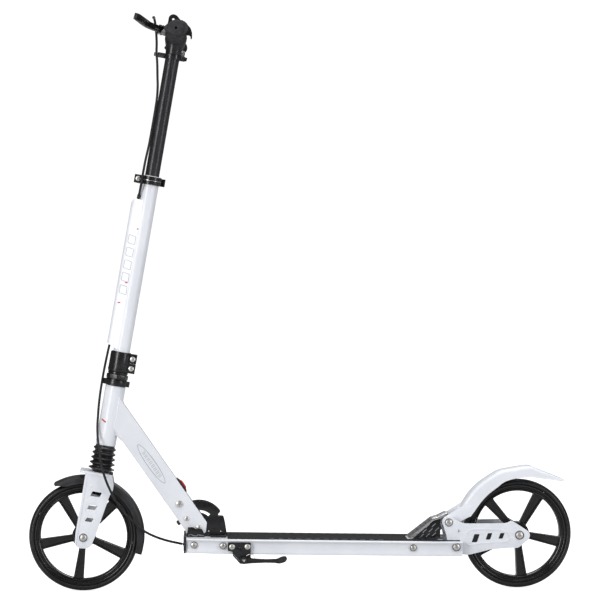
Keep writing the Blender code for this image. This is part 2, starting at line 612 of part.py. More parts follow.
# ---------------------------------------------------------------- kickstand
def kickstand(mats):
    x, y, z = KICK_PIVOT
    outline = [(-0.1365, 0.0935), (-0.0950, 0.0930), (-0.0950, 0.0560), (-0.1130, 0.0545), (-0.1280, 0.0715),
               (-0.1280, 0.0775), (-0.1365, 0.0780)]
    near = -DECK_HALF - GAP
    hole = circle(0.0033, 10, (x, z))
    body = piece("kickstand_bracket", plate(outline, near - 0.003, near, [hole]), mats["black"])
    stop = helper(plate([(-0.1268, 0.0700), (-0.1130, 0.0545), (-0.1107, 0.0566), (-0.1237, 0.0702)],
                        near - 0.0025, near + 0.020))
    boolean(body, "UNION", [stop])
    leg = [(-0.0085, 0.0045), (-0.0085, -0.0040), (-0.0030, -0.0075), (0.0120, -0.0060), (0.0380, -0.0050),
           (0.0560, -0.0055), (0.0640, -0.0070), (0.0750, -0.0040), (0.0785, 0.0020), (0.0760, 0.0065),
           (0.0690, 0.0060), (0.0600, 0.0015), (0.0400, 0.0010), (0.0150, 0.0025), (0.0040, 0.0070)]
    hinge = circle(0.0033, 10)
    low = near - 0.003 - GAP
    piece("kickstand_leg", plate(leg, low - 0.0065 - y, low - y, [hinge]), mats["black"], None, KICK_PIVOT)
    profile = [(0.0040, -0.0125), (0.0052, -0.0110), (0.0052, -0.0068), (0.0030, -0.0068), (0.0030, 0.0090)]
    bolt_y = near - 0.003 - GAP - y
    piece("kickstand_bolt", turned([(r, t + bolt_y) for r, t in profile], 12, "Y"), mats["steel"], None,
          KICK_PIVOT)


# ---------------------------------------------------------------- rear end
REAR_ARM = [(0.2590, 0.1150), (0.2572, 0.1240), (0.2595, 0.1312), (0.2660, 0.1350), (0.2740, 0.1333),
            (0.2840, 0.1268), (0.2960, 0.1218), (0.3276, 0.1216), (0.3740, 0.1220), (0.3835, 0.1268),
            (0.3994, 0.1170), (0.4153, 0.1064), (0.4178, 0.1000), (0.4150, 0.0917), (0.4060, 0.0854),
            (0.3963, 0.0768), (0.3804, 0.0766), (0.3445, 0.0743), (0.3234, 0.0690), (0.3040, 0.0645),
            (0.2940, 0.0650), (0.2720, 0.0740), (0.2650, 0.0860), (0.2640, 0.1000)]
ARM_INNER = 0.033
ARM_OUTER = 0.036


def rear_arm(mats):
    axle = (WHEELBASE / 2, 0, WHEEL_R)
    windows = [slanted((0.3175, 0.0948), 0.0100, 0.0150, 0.005), slanted((0.3420, 0.0980), 0.0085, 0.0120, 0.004),
               slanted((0.3650, 0.0988), 0.0080, 0.0105, 0.004)]
    windows += [circle(0.0060, 12, (SWING_PIVOT[0], SWING_PIVOT[2])), circle(0.0060, 12, (EYE[0], EYE[2])),
                circle(AXLE_R + GAP, 12, (axle[0], axle[2])), circle(0.0022, 8, (0.2865, 0.1085))]
    arm = piece("rear_arm", plate(REAR_ARM, -ARM_OUTER, -ARM_INNER, windows), mats["white"])
    twin = helper(plate(REAR_ARM, ARM_INNER, ARM_OUTER, windows))
    bridge = plate([(0.2660, 0.1010), (0.2945, 0.0960), (0.2945, 0.1000), (0.2660, 0.1050)], -0.0345, 0.0345)
    sleeves = [helper(tube(0.0043, 0.0075, -0.0345, 0.0345, 12, "Y"), location=at) for at in (SWING_PIVOT, EYE)]
    boolean(arm, "UNION", [twin, helper(bridge)] + sleeves)
    piece("rear_axle", bolt(AXLE_R, 0.0066, ARM_OUTER + GAP, 0.0042), mats["steel"], None, axle)
    piece("eye_bolt", bolt(0.0040, 0.0062, ARM_OUTER + GAP, 0.0034), mats["steel"], None, EYE)
    wheel("rear", mats, None, axle, REAR_SPOKE_PHASE)


def rear_fender(mats):
    """Channel mudguard and foot brake, hinged on the eye bolt."""
    stations = [((0.2885, 0.1400), (0.3085, 0.1330)), ((0.2975, 0.1560), (0.3175, 0.1450)),
                ((0.3100, 0.1745), (0.3275, 0.1590)), ((0.3265, 0.1915), (0.3410, 0.1735)),
                ((0.3485, 0.2065), (0.3585, 0.1870)), ((0.3660, 0.2160), (0.3730, 0.1975)),
                ((0.3920, 0.2210), (0.3940, 0.2035)), ((0.4195, 0.2245), (0.4150, 0.2055)),
                ((0.4346, 0.2190), (0.4290, 0.2050)), ((0.4560, 0.2105), (0.4500, 0.2020)),
                ((0.4750, 0.2028), (0.4680, 0.1995)), ((0.4850, 0.1985), (0.4800, 0.1975))]
    half, skin = 0.025, 0.002
    sections = []
    for top, low in stations:
        top, low = Vector(top), Vector(low)
        drop = (low - top).normalized() * min(skin, (low - top).length * 0.4)
        points = [(low, half), (top, half), (top, -half), (low, -half), (low, skin - half), (top + drop, skin - half),
                  (top + drop, half - skin), (low, half - skin)]
        sections.append([(p.x - EYE[0], y, p.y - EYE[2]) for p, y in points])
    fender = piece("rear_fender", loft(sections), mats["white"], None, EYE)
    ear = arc((0, 0), 0.0110, 110, 330, 8) + [(0.0420, 0.0100), (0.0520, 0.0270), (0.0330, 0.0330)]
    hole = circle(0.0078, 14)
    ears = [helper(plate(ear, side * 0.0233, side * 0.0247, [hole]), location=EYE) for side in (-1, 1)]
    boolean(fender, "UNION", ears)


def tail_cover(mats):
    """Bent cover over the rear elastomer, standing on side webs."""
    skin = 0.0035
    path = [(0.1965, 0.0932), (0.1965, 0.0960), (0.2400, 0.1290), (0.2510, 0.1320), (0.2660, 0.1392),
            (0.2740, 0.1365), (0.2720, 0.1340), (0.2655, 0.1356), (0.2520, 0.1288), (0.2412, 0.1258),
            (0.2030, 0.0932)]
    cover = piece("tail_cover", plate(path, -0.0220, 0.0220), mats["silver"])
    web = [(0.2010, 0.0934), (0.2405, 0.1270), (0.2520, 0.1300), (0.2545, 0.1305), (0.2540, 0.0930)]
    webs = [helper(plate(web, side * 0.0185, side * 0.0215)) for side in (-1, 1)]
    boolean(cover, "UNION", webs)
    seat = plate([(0.2195, 0.0930), (0.2294, 0.0928), (0.2294, 0.1110), (0.2195, 0.1050)], -0.0180, 0.0180)
    piece("elastomer_seat", seat, mats["steel"])
    start, end = Vector((0.2326, 0, 0.1042)), Vector((0.2565, 0, 0.1140))
    along = (end - start).normalized()
    across = Vector((-along.z, 0, along.x))
    rings = []
    for t, r in ((0, 0.0082), (0.25, 0.0088), (0.5, 0.0076), (0.75, 0.0088), (1, 0.0080)):
        centre = start.lerp(end, t)
        rings.append([centre + across * a + Vector((0, b, 0)) for a, b in circle(r, 12)])
    piece("rear_elastomer", loft(rings), mats["rubber"])


# ---------------------------------------------------------------- cable
CABLE_TOP = [(-0.0440, -0.0960, 0.9465), (-0.0440, -0.0780, 0.9480), (-0.0415, -0.0560, 0.9430),
             (-0.0372, -0.0300, 0.9290), (-0.0330, -0.0110, 0.9100), (-0.0304, -0.0020, 0.8930),
             (-0.0258, -0.0010, 0.8740), (-0.0212, -0.0030, 0.8500), (-0.0174, -0.0052, 0.8300),
             (-0.0151, -0.0067, 0.8050), (-0.0147, -0.0076, 0.7650), (-0.0150, -0.0095, 0.7250),
             (-0.0165, -0.0140, 0.6950), (-0.0168, -0.0184, 0.6650), (-0.0168, -0.0170, 0.6480),
             (-0.0172, -0.0100, 0.6330), (-0.0178, -0.0040, 0.6248)]
CABLE_LOOP = [(-0.0240, 0.0, 0.3520), (-0.0248, 0.0, 0.3370), (-0.0255, 0.0, 0.3180), (-0.0259, 0.0, 0.3000),
              (-0.0259, 0.0, 0.2850), (-0.0258, 0.0, 0.2787), (-0.0256, 0.0, 0.2635), (-0.0249, 0.0, 0.2487),
              (-0.0238, -0.0020, 0.2341), (-0.0222, -0.0060, 0.2196), (-0.0205, -0.0120, 0.2050),
              (-0.0178, -0.0200, 0.1910), (-0.0140, -0.0290, 0.1770), (-0.0092, -0.0360, 0.1640),
              (-0.0030, -0.0410, 0.1430), (0.0050, -0.0440, 0.1244), (0.0172, -0.0440, 0.1026),
              (0.0362, -0.0390, 0.0759), (0.0571, -0.0340, 0.0551), (0.0769, -0.0305, 0.0418),
              (0.0966, -0.0275, 0.0293), (0.1194, -0.0190, 0.0213), (0.1425, -0.0080, 0.0166),
              (0.1640, -0.0005, 0.0146), (0.1697, 0.0, 0.0142)]
CABLE_DECK = [(-0.2175, 0.0, -0.0160), (-0.2100, 0.0, -0.0163), (-0.2010, 0.0, -0.0170), (-0.1900, 0.0, -0.0179),
              (-0.1500, 0.0, -0.0185), (0.0, 0.0, -0.0185), (0.1500, 0.0, -0.0185), (0.2400, 0.0, -0.0185)]


def brake_cable(mats, steering, base):
    cable("cable_upper", CABLE_TOP, mats["rubber"], steering)
    cable("cable_loop", CABLE_LOOP, mats["rubber"], steering)
    cable("cable_deck", CABLE_DECK, mats["rubber"], base)


# ---------------------------------------------------------------- assembly
def build():
    clear_scene()
    mats = make_materials()
    axle_x = -WHEELBASE / 2
    foot = (axle_x + FORK_OFFSET * math.cos(STEER_LEAN), 0, WHEEL_R - FORK_OFFSET * math.sin(STEER_LEAN))
    steering = empty("steering_axis", foot, (0, STEER_LEAN, 0))
    pivot = empty("fold_pivot", FOLD_PIVOT)
    base = empty("deck_plane", (0, 0, DECK_TOP), (0, DECK_TILT, 0))
    deck(mats, base)
    fold_hardware(mats, pivot)
    kickstand(mats)
    tail_cover(mats)
    front_frame(mats, pivot, steering)
    steering_column(mats, steering)
    fork(mats, steering)
    handlebar(mats, steering)
    rear_arm(mats)
    rear_fender(mats)
    brake_cable(mats, steering, base)


build()
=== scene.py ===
"""Looks for the folding kick scooter: finer pieces, procedural materials, studio and camera.

Metres, +Z up, front to -X. Lengths repeat the part's own driving dimensions, and each piece is made in
the frame of the assembly it belongs to (steering axis, bar, fold pivot, deck) and then set in place.
"""
import math

import bmesh
import bpy
from mathutils import Matrix, Vector
from mathutils.geometry import tessellate_polygon


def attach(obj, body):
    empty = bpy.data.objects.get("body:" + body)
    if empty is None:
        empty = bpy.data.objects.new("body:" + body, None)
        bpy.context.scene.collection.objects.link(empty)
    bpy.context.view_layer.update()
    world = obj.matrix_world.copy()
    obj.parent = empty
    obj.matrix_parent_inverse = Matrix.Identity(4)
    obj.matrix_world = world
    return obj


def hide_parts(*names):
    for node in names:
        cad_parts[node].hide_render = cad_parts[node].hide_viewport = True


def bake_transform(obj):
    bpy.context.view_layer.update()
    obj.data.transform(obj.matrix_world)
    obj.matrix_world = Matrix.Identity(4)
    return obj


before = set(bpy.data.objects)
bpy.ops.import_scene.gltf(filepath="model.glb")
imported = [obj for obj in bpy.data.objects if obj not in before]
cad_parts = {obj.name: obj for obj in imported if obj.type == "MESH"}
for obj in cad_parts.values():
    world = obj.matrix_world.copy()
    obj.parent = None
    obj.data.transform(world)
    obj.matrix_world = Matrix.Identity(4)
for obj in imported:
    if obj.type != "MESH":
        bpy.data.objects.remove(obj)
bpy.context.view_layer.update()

# ---------------------------------------------------------------- dimensions shared with the part
WHEELBASE = 0.7962
WHEEL_R = 0.100
TYRE_DEPTH = 0.010
STEER_LEAN = math.radians(9.815)
FORK_OFFSET = 0.01035
CROWN_S = 0.1195
HEAD_LOW_S = 0.1695
HEAD_TOP_S = 0.2799
NUT_LOW_S = 0.2908
CLAMP_LOW_S = 0.3063
CLAMP_TOP_S = 0.3415
FIN_LOW_S = 0.3485
FIN_TOP_S = 0.6235
HEIGHT_CLAMP_S = (0.6525, 0.6675)
COLUMN_TOP_S = 0.6683
INNER_LOW_S = 0.530
INNER_TOP_S = 0.9075
BAR_S = 0.9253
STEERER_R = 0.0132
COLUMN_R = 0.0152
BORE_R = 0.0135
HEAD_R = 0.0185
BAR_R = 0.011
BAR_HALF = 0.2035
FOLD_PIVOT = (-0.188, 0.0, 0.115)
DOWN_TUBE_SLOPE = math.radians(54.95)
TUBE_HALF_Y = 0.016
TUBE_WALL = 0.003
TUBE_BELOW = 0.0235
TUBE_ABOVE = 0.0172
DECK_TILT = 0.0168
DECK_TOP = 0.0956
DECK_FRONT = -0.2115
DECK_HALF = 0.062
DECK_THICK = 0.0265
CROSS_BOLT_Z = -0.0112
SWING_PIVOT = (0.2798, 0.0, 0.0811)
EYE = (0.268, 0.0, 0.124)
KICK_PIVOT = (-0.1075, -0.0687, 0.0622)
LEVER_TILT = math.radians(17)
LEVER_PIVOT = 0.028
CABLE_R = 0.0022
FRONT_SPOKE_PHASE = math.radians(47 + 9.8)
REAR_SPOKE_PHASE = math.radians(60)
SPOKES = 5


# ---------------------------------------------------------------- frames of the assemblies
def moved(x=0.0, y=0.0, z=0.0):
    return Matrix.Translation((x, y, z))


def tilted(angle):
    return Matrix.Rotation(angle, 4, "Y")


FOOT = (-WHEELBASE / 2 + FORK_OFFSET * math.cos(STEER_LEAN), 0.0,
        WHEEL_R - FORK_OFFSET * math.sin(STEER_LEAN))
WORLD = Matrix.Identity(4)
STEER = moved(*FOOT) @ tilted(STEER_LEAN)
BAR = STEER @ moved(z=BAR_S)
UPRIGHT = BAR @ tilted(-STEER_LEAN)
LEVER_PLANE = UPRIGHT @ tilted(math.pi + LEVER_TILT)
PIVOT = moved(*FOLD_PIVOT)
BUTTON_FACE = PIVOT @ tilted(DOWN_TUBE_SLOPE - math.pi / 2)
DECK = moved(z=DECK_TOP) @ tilted(DECK_TILT)
FRONT_AXLE = STEER @ moved(x=-FORK_OFFSET)
REAR_AXLE = moved(x=WHEELBASE / 2, z=WHEEL_R)


# ---------------------------------------------------------------- outlines
def place(axis, a, b, t):
    """Point with plane coordinates a, b at distance t along the axis."""
    if axis == "X":
        return Vector((t, a, b))
    if axis == "Y":
        return Vector((a, t, b))
    return Vector((a, b, t))


def arc(centre, radius, start, end, steps):
    """Points on an arc, angles in degrees."""
    angles = [math.radians(start + (end - start) * i / steps) for i in range(steps + 1)]
    return [(centre[0] + radius * math.cos(a), centre[1] + radius * math.sin(a)) for a in angles]


def circle(radius, segments=32, centre=(0, 0)):
    return arc(centre, radius, 0, 360 - 360 / segments, segments - 1)


def slanted(centre, width, height, skew):
    """Parallelogram window."""
    x, z = centre
    w, h, s = width / 2, height / 2, skew / 2
    return [(x - w - s, z - h), (x + w - s, z - h), (x + w + s, z + h), (x - w + s, z + h)]


def rounded(outline, reach, steps=4):
    """The outline with each corner drawn over a short curve."""
    points = []
    count = len(outline)
    for i in range(count):
        before, here, after = (Vector(outline[(i + k) % count]) for k in (-1, 0, 1))
        back, ahead = before - here, after - here
        start = here + back * min(0.45, reach / max(back.length, 1e-6))
        end = here + ahead * min(0.45, reach / max(ahead.length, 1e-6))
        for k in range(steps + 1):
            t = k / steps
            p = start * (1 - t) ** 2 + here * 2 * t * (1 - t) + end * t * t
            points.append((p.x, p.y))
    return points


def inset(outline, distance):
    """The outline moved inwards; a negative distance grows it."""
    count = len(outline)
    area = sum(outline[i - 1][0] * outline[i][1] - outline[i][0] * outline[i - 1][1] for i in range(count))
    side = 1 if area > 0 else -1
    points = []
    for i in range(count):
        before, here, after = (Vector(outline[(i + k) % count]) for k in (-1, 0, 1))
        one = (here - before).normalized()
        two = (after - here).normalized()
        normal = Vector((-one.y - two.y, one.x + two.x)) * side
        if normal.length < 1e-6:
            normal = Vector((-one.y, one.x)) * side
        normal.normalize()
        lean = max(0.5, abs(normal.dot(Vector((-one.y, one.x)) * side)))
        p = here + normal * (distance / lean)
        points.append((p.x, p.y))
    return points


# ---------------------------------------------------------------- solids
def plate(outline, t0, t1, holes=(), axis="Y"):
    """Prism of a flat outline with through holes."""
    loops = [list(outline)] + [list(hole) for hole in holes]
    points = [p for loop in loops for p in loop]
    triangles = tessellate_polygon([[Vector((a, b, 0)) for a, b in loop] for loop in loops])
    bm = bmesh.new()
    low = [bm.verts.new(place(axis, a, b, t0)) for a, b in points]
    top = [bm.verts.new(place(axis, a, b, t1)) for a, b in points]
    for i, j, k in triangles:
        bm.faces.new((low[i], low[j], low[k]))
        bm.faces.new((top[k], top[j], top[i]))
    start = 0
    for loop in loops:
        count = len(loop)
        for i in range(count):
            here = start + i
            ahead = start + (i + 1) % count
            bm.faces.new((low[here], low[ahead], top[ahead], top[here]))
        start += count
    return bm


def loft(sections, ring=False):
    """Skin through equal point loops, capped at both ends or closed into a ring."""
    bm = bmesh.new()
    loops = [[bm.verts.new(p) for p in section] for section in sections]
    following = loops[1:] + loops[:1] if ring else loops[1:]
    for one, two in zip(loops, following):
        count = len(one)
        for i in range(count):
            j = (i + 1) % count
            bm.faces.new((one[i], one[j], two[j], two[i]))
    if not ring:
        bm.faces.new(loops[0])
        bm.faces.new(loops[-1])
    return bm


def turned(profile, segments=64, axis="Z", hollow=False):
    """Turn (radius, height) points about the axis; hollow closes the outline on itself."""
    return loft([[place(axis, a, b, t) for a, b in circle(max(r, 1e-5), segments)] for r, t in profile],
                hollow)


def tube(inner, outer, t0, t1, segments=64, axis="Z"):
    return turned([(outer, t0), (outer, t1), (inner, t1), (inner, t0)], segments, axis, True)


def box(x, y, z):
    return plate([(x[0], z[0]), (x[1], z[0]), (x[1], z[1]), (x[0], z[1])], y[0], y[1])


def shifted(bm, x=0.0, y=0.0, z=0.0):
    bm.transform(moved(x, y, z))
    return bm


def turned_by(bm, matrix):
    bm.transform(matrix)
    return bm


def smooth_route(points, step):
    """Even points on a smooth curve through the given ones."""
    knots = [Vector(p) for p in points]
    knots = [knots[0] * 2 - knots[1]] + knots + [knots[-1] * 2 - knots[-2]]
    route = []
    for a, b, c, d in zip(knots, knots[1:], knots[2:], knots[3:]):
        count = max(1, round((c - b).length / step))
        for i in range(count):
            t = i / count
            route.append(0.5 * (2 * b + (c - a) * t + (2 * a - 5 * b + 4 * c - d) * t * t
                                + (3 * b - a - 3 * c + d) * t ** 3))
    route.append(knots[-2])
    return route


def hose(route, radius, sides=14):
    """Round tube along a route of points, with closed ends."""
    sections = []
    side = Vector((0, 1, 0.013))
    for i, here in enumerate(route):
        along = (route[min(i + 1, len(route) - 1)] - route[max(i - 1, 0)]).normalized()
        side = (side - along * side.dot(along)).normalized()
        other = along.cross(side)
        sections.append([here + side * radius * a + other * radius * b for a, b in circle(1.0, sides)])
    return loft(sections)


def spring(radius, wire, low, top, turns, sides=8, steps=20):
    """Compression spring as a swept wire about Z."""
    route = []
    for i in range(turns * steps + 1):
        angle = 2 * math.pi * i / steps
        height = low + wire + (top - low - 2 * wire) * i / (turns * steps)
        route.append(Vector((radius * math.cos(angle), radius * math.sin(angle), height)))
    return hose(route, wire, sides)


def temporary(bm):
    bmesh.ops.recalc_face_normals(bm, faces=bm.faces)
    mesh = bpy.data.meshes.new("temporary")
    bm.to_mesh(mesh)
    bm.free()
    obj = bpy.data.objects.new("temporary", mesh)
    bpy.context.scene.collection.objects.link(obj)
    return obj


def evaluated(obj):
    """The object's mesh with its modifiers applied, as a new mesh."""
    graph = bpy.context.evaluated_depsgraph_get()
    return bpy.data.meshes.new_from_object(obj.evaluated_get(graph))


def combined(bm, operation, others):
    """Boolean of solids."""
    base = temporary(bm)
    tools = [temporary(other) for other in others]
    for tool in tools:
        mod = base.modifiers.new("boolean", "BOOLEAN")
        mod.operation = operation
        mod.solver = "EXACT"
        mod.object = tool
    result = bmesh.new()
    result.from_mesh(evaluated(base))
    for obj in [base] + tools:
        bpy.data.objects.remove(obj)
    return result


def bevelled(bm, width, segments=3, angle=40):
    """Rounds the sharp edges of one solid before it is cut or joined."""
    bmesh.ops.recalc_face_normals(bm, faces=bm.faces)
    limit = math.radians(angle)
    edges = [e for e in bm.edges if len(e.link_faces) == 2 and e.calc_face_angle(0) > limit]
    bmesh.ops.bevel(bm, geom=edges, offset=width, offset_type="OFFSET", segments=segments, profile=0.5,
                    affect="EDGES", clamp_overlap=True)
    return bm


# ---------------------------------------------------------------- pieces
def piece(name, parts, body, place_in=WORLD, nodes=(), angle=38):
    """One object from [(solid, material), ...], on a body, standing for the CAD nodes it replaces."""
    whole = bmesh.new()
    materials = []
    for bm, mat in parts:
        bmesh.ops.recalc_face_normals(bm, faces=bm.faces)
        if mat not in materials:
            materials.append(mat)
        for face in bm.faces:
            face.material_index = materials.index(mat)
            face.smooth = True
        mesh = bpy.data.meshes.new("part")
        bm.to_mesh(mesh)
        bm.free()
        whole.from_mesh(mesh)
        bpy.data.meshes.remove(mesh)
    whole.transform(place_in)
    mesh = bpy.data.meshes.new(name)
    whole.to_mesh(mesh)
    whole.free()
    for mat in materials:
        mesh.materials.append(mat)
    obj = bpy.data.objects.new(name, mesh)
    bpy.context.scene.collection.objects.link(obj)
    mesh.set_sharp_from_angle(angle=math.radians(angle))
    if body:
        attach(obj, body)
    if nodes:
        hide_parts(*nodes)
    return obj


# ---------------------------------------------------------------- materials
class Paint:
    """Small builder for a node material in the frame's own coordinates."""

    def __init__(self, name, colour, roughness, metallic=0.0, coat=0.0, specular=0.5):
        self.mat = bpy.data.materials.new(name)
        self.mat.use_nodes = True
        self.nodes = self.mat.node_tree.nodes
        self.links = self.mat.node_tree.links
        self.shader = self.nodes["Principled BSDF"]
        self.shader.inputs["Base Color"].default_value = (*colour, 1)
        self.shader.inputs["Roughness"].default_value = roughness
        self.shader.inputs["Metallic"].default_value = metallic
        self.shader.inputs["Coat Weight"].default_value = coat
        self.shader.inputs["Coat Roughness"].default_value = 0.12
        self.shader.inputs["Specular IOR Level"].default_value = specular
        self.coords = self.nodes.new("ShaderNodeTexCoord").outputs["Object"]
        self.height = None

    def mapped(self, scale=(1, 1, 1), rotation=(0, 0, 0)):
        node = self.nodes.new("ShaderNodeMapping")
        node.inputs["Scale"].default_value = scale
        node.inputs["Rotation"].default_value = rotation
        self.links.new(self.coords, node.inputs["Vector"])
        return node.outputs["Vector"]

    def noise(self, scale, detail=3.0, stretch=(1, 1, 1), rotation=(0, 0, 0), roughness=0.55):
        node = self.nodes.new("ShaderNodeTexNoise")
        node.inputs["Scale"].default_value = scale
        node.inputs["Detail"].default_value = detail
        node.inputs["Roughness"].default_value = roughness
        self.links.new(self.mapped(stretch, rotation), node.inputs["Vector"])
        return node.outputs["Fac"]

    def cells(self, scale, stretch=(1, 1, 1)):
        node = self.nodes.new("ShaderNodeTexVoronoi")
        node.inputs["Scale"].default_value = scale
        self.links.new(self.mapped(stretch), node.inputs["Vector"])
        return node.outputs["Distance"]

    def span(self, value, low, high, out_low, out_high):
        """The value's range from low to high, spread from out_low to out_high."""
        node = self.nodes.new("ShaderNodeMapRange")
        for name, number in (("From Min", low), ("From Max", high), ("To Min", out_low),
                             ("To Max", out_high)):
            node.inputs[name].default_value = number
        self.links.new(value, node.inputs["Value"])
        return node.outputs["Result"]

    def mottle(self, value, dark, light, low=0.35, high=0.65):
        """Base colour between two tones by a texture value."""
        node = self.nodes.new("ShaderNodeMix")
        node.data_type = "RGBA"
        self.links.new(self.span(value, low, high, 0.0, 1.0), node.inputs["Factor"])
        source = [s for s in node.inputs if s.name == "A" and s.type == "RGBA"][0]
        source.default_value = (*dark, 1)
        target = [s for s in node.inputs if s.name == "B" and s.type == "RGBA"][0]
        target.default_value = (*light, 1)
        result = [s for s in node.outputs if s.type == "RGBA"][0]
        self.links.new(result, self.shader.inputs["Base Color"])
        return self

    def rough(self, value, low, high):
        self.links.new(self.span(value, 0.3, 0.7, low, high), self.shader.inputs["Roughness"])
        return self

    def bump(self, value, strength, distance):
        """Adds a relief to the surface, on top of the earlier ones."""
        node = self.nodes.new("ShaderNodeBump")
        node.inputs["Strength"].default_value = strength
        node.inputs["Distance"].default_value = distance
        self.links.new(value, node.inputs["Height"])
        if self.height:
            self.links.new(self.height, node.inputs["Normal"])
        self.height = node.outputs["Normal"]
        self.links.new(self.height, self.shader.inputs["Normal"])
        return self


def white_paint():
    p = Paint("white_powder_coat", (0.84, 0.855, 0.90), 0.34, coat=0.35)
    p.mottle(p.noise(22, 4), (0.825, 0.842, 0.890), (0.870, 0.884, 0.925))
    p.rough(p.noise(60, 3), 0.30, 0.40)
    p.bump(p.noise(900, 2), 0.10, 0.0003)
    p.bump(p.noise(160, 2), 0.05, 0.0008)
    return p.mat


def white_web():
    """The white paint on pressed plates, a touch greyer and less even."""
    p = Paint("white_pressed_plate", (0.82, 0.84, 0.89), 0.38, coat=0.25)
    p.mottle(p.noise(45, 4), (0.795, 0.815, 0.870), (0.850, 0.866, 0.910))
    p.rough(p.noise(90, 3), 0.33, 0.45)
    p.bump(p.noise(700, 3), 0.14, 0.0003)
    return p.mat


def black_paint():
    p = Paint("black_satin_paint", (0.008, 0.008, 0.009), 0.34, coat=0.25)
    p.mottle(p.noise(70, 4), (0.005, 0.005, 0.006), (0.012, 0.012, 0.014))
    p.rough(p.noise(140, 3), 0.22, 0.36)
    p.bump(p.noise(1100, 2), 0.12, 0.0003)
    return p.mat


def black_wheel():
    p = Paint("black_wheel_moulding", (0.007, 0.007, 0.0075), 0.26, coat=0.3)
    p.mottle(p.noise(50, 3), (0.004, 0.004, 0.005), (0.011, 0.011, 0.012))
    p.rough(p.noise(120, 3), 0.16, 0.30)
    p.bump(p.noise(800, 2), 0.10, 0.0003)
    return p.mat


def black_tube():
    """Anodised tube with fine draw marks along its length."""
    p = Paint("black_anodised_tube", (0.022, 0.020, 0.024), 0.34, metallic=0.35, coat=0.1)
    turn = (0, -STEER_LEAN, 0)
    draw = p.noise(700, 4, (1, 1, 0.006), turn)
    p.mottle(draw, (0.014, 0.013, 0.016), (0.050, 0.047, 0.054), 0.3, 0.7)
    p.rough(draw, 0.26, 0.44)
    p.bump(draw, 0.22, 0.0003)
    p.bump(p.noise(1400, 2), 0.06, 0.0002)
    return p.mat


def black_plastic():
    p = Paint("black_moulded_plastic", (0.018, 0.018, 0.020), 0.46)
    p.mottle(p.noise(60, 3), (0.013, 0.013, 0.014), (0.026, 0.026, 0.029))
    p.rough(p.noise(200, 3), 0.40, 0.54)
    p.bump(p.noise(1500, 3), 0.25, 0.0003)
    return p.mat


def black_rubber():
    p = Paint("black_rubber", (0.016, 0.016, 0.017), 0.55, specular=0.4)
    p.mottle(p.noise(80, 3), (0.011, 0.011, 0.012), (0.024, 0.024, 0.026))
    p.rough(p.noise(150, 3), 0.46, 0.64)
    p.bump(p.noise(1800, 3), 0.20, 0.0003)
    return p.mat


def boot_rubber():
    p = Paint("boot_rubber", (0.010, 0.010, 0.011), 0.32, coat=0.2)
    p.mottle(p.noise(90, 3), (0.007, 0.007, 0.008), (0.017, 0.017, 0.018))
    p.rough(p.noise(120, 3), 0.26, 0.40)
    p.bump(p.noise(900, 3), 0.10, 0.0003)
    return p.mat


def grip_rubber():
    p = Paint("grip_rubber", (0.034, 0.032, 0.036), 0.62, specular=0.35)
    p.mottle(p.noise(120, 3), (0.022, 0.021, 0.024), (0.042, 0.041, 0.045))
    p.rough(p.noise(200, 3), 0.52, 0.70)
    p.bump(p.cells(1100), 0.35, 0.0004)
    return p.mat


def tyre_rubber():
    p = Paint("polyurethane_tyre", (0.009, 0.009, 0.0095), 0.38, specular=0.5)
    p.mottle(p.noise(35, 4), (0.006, 0.006, 0.007), (0.015, 0.015, 0.016))
    p.rough(p.noise(90, 4), 0.26, 0.44)
    p.bump(p.noise(1300, 3), 0.16, 0.0003)
    return p.mat


def sandpaper():
    """Gritty tape with pale dust and rows of faint dashes along the deck."""
    p = Paint("grip_tape_grit", (0.018, 0.018, 0.019), 0.86, specular=0.3)
    grit = p.noise(1700, 2, roughness=0.8)
    p.mottle(grit, (0.010, 0.010, 0.011), (0.045, 0.045, 0.048), 0.46, 0.86)
    p.rough(grit, 0.72, 0.95)
    p.bump(grit, 0.9, 0.0008)
    p.bump(p.cells(1500), 0.5, 0.0006)
    return p.mat


def bolt_steel():
    p = Paint("zinc_plated_steel", (0.80, 0.78, 0.75), 0.34, metallic=0.85)
    p.mottle(p.noise(260, 3), (0.66, 0.64, 0.61), (0.90, 0.88, 0.84))
    p.rough(p.noise(420, 3), 0.28, 0.46)
    p.bump(p.noise(2200, 2), 0.12, 0.0002)
    return p.mat


def dark_steel():
    p = Paint("oiled_steel", (0.20, 0.20, 0.21), 0.36, metallic=1.0)
    p.mottle(p.noise(240, 3), (0.12, 0.12, 0.13), (0.30, 0.30, 0.31))
    p.rough(p.noise(420, 3), 0.28, 0.46)
    p.bump(p.noise(2000, 2), 0.12, 0.0002)
    return p.mat


# bright aluminium for real metal parts; the same material also makes painted reflections and painted
# highlights on glossy black parts
def silver_and_painted_glint():
    p = Paint("bright_aluminium_and_painted_glint", (0.68, 0.68, 0.69), 0.30, metallic=1.0)
    brushed = p.noise(900, 3, (0.05, 1, 1))
    p.mottle(brushed, (0.55, 0.55, 0.56), (0.80, 0.80, 0.81))
    p.rough(brushed, 0.24, 0.42)
    p.bump(brushed, 0.14, 0.0002)
    return p.mat


def red_plastic():
    p = Paint("red_plastic", (0.60, 0.020, 0.022), 0.34, coat=0.3)
    p.mottle(p.noise(140, 3), (0.50, 0.014, 0.016), (0.68, 0.030, 0.030))
    p.rough(p.noise(300, 3), 0.28, 0.42)
    p.bump(p.noise(1500, 2), 0.12, 0.0002)
    return p.mat


def print_grey():
    p = Paint("grey_print", (0.30, 0.31, 0.34), 0.5)
    p.mottle(p.noise(500, 3), (0.24, 0.25, 0.28), (0.38, 0.39, 0.42))
    p.rough(p.noise(400, 2), 0.42, 0.58)
    return p.mat


def print_red():
    p = Paint("red_print", (0.58, 0.03, 0.035), 0.45)
    p.mottle(p.noise(500, 3), (0.50, 0.022, 0.026), (0.66, 0.04, 0.045))
    p.rough(p.noise(400, 2), 0.38, 0.52)
    return p.mat


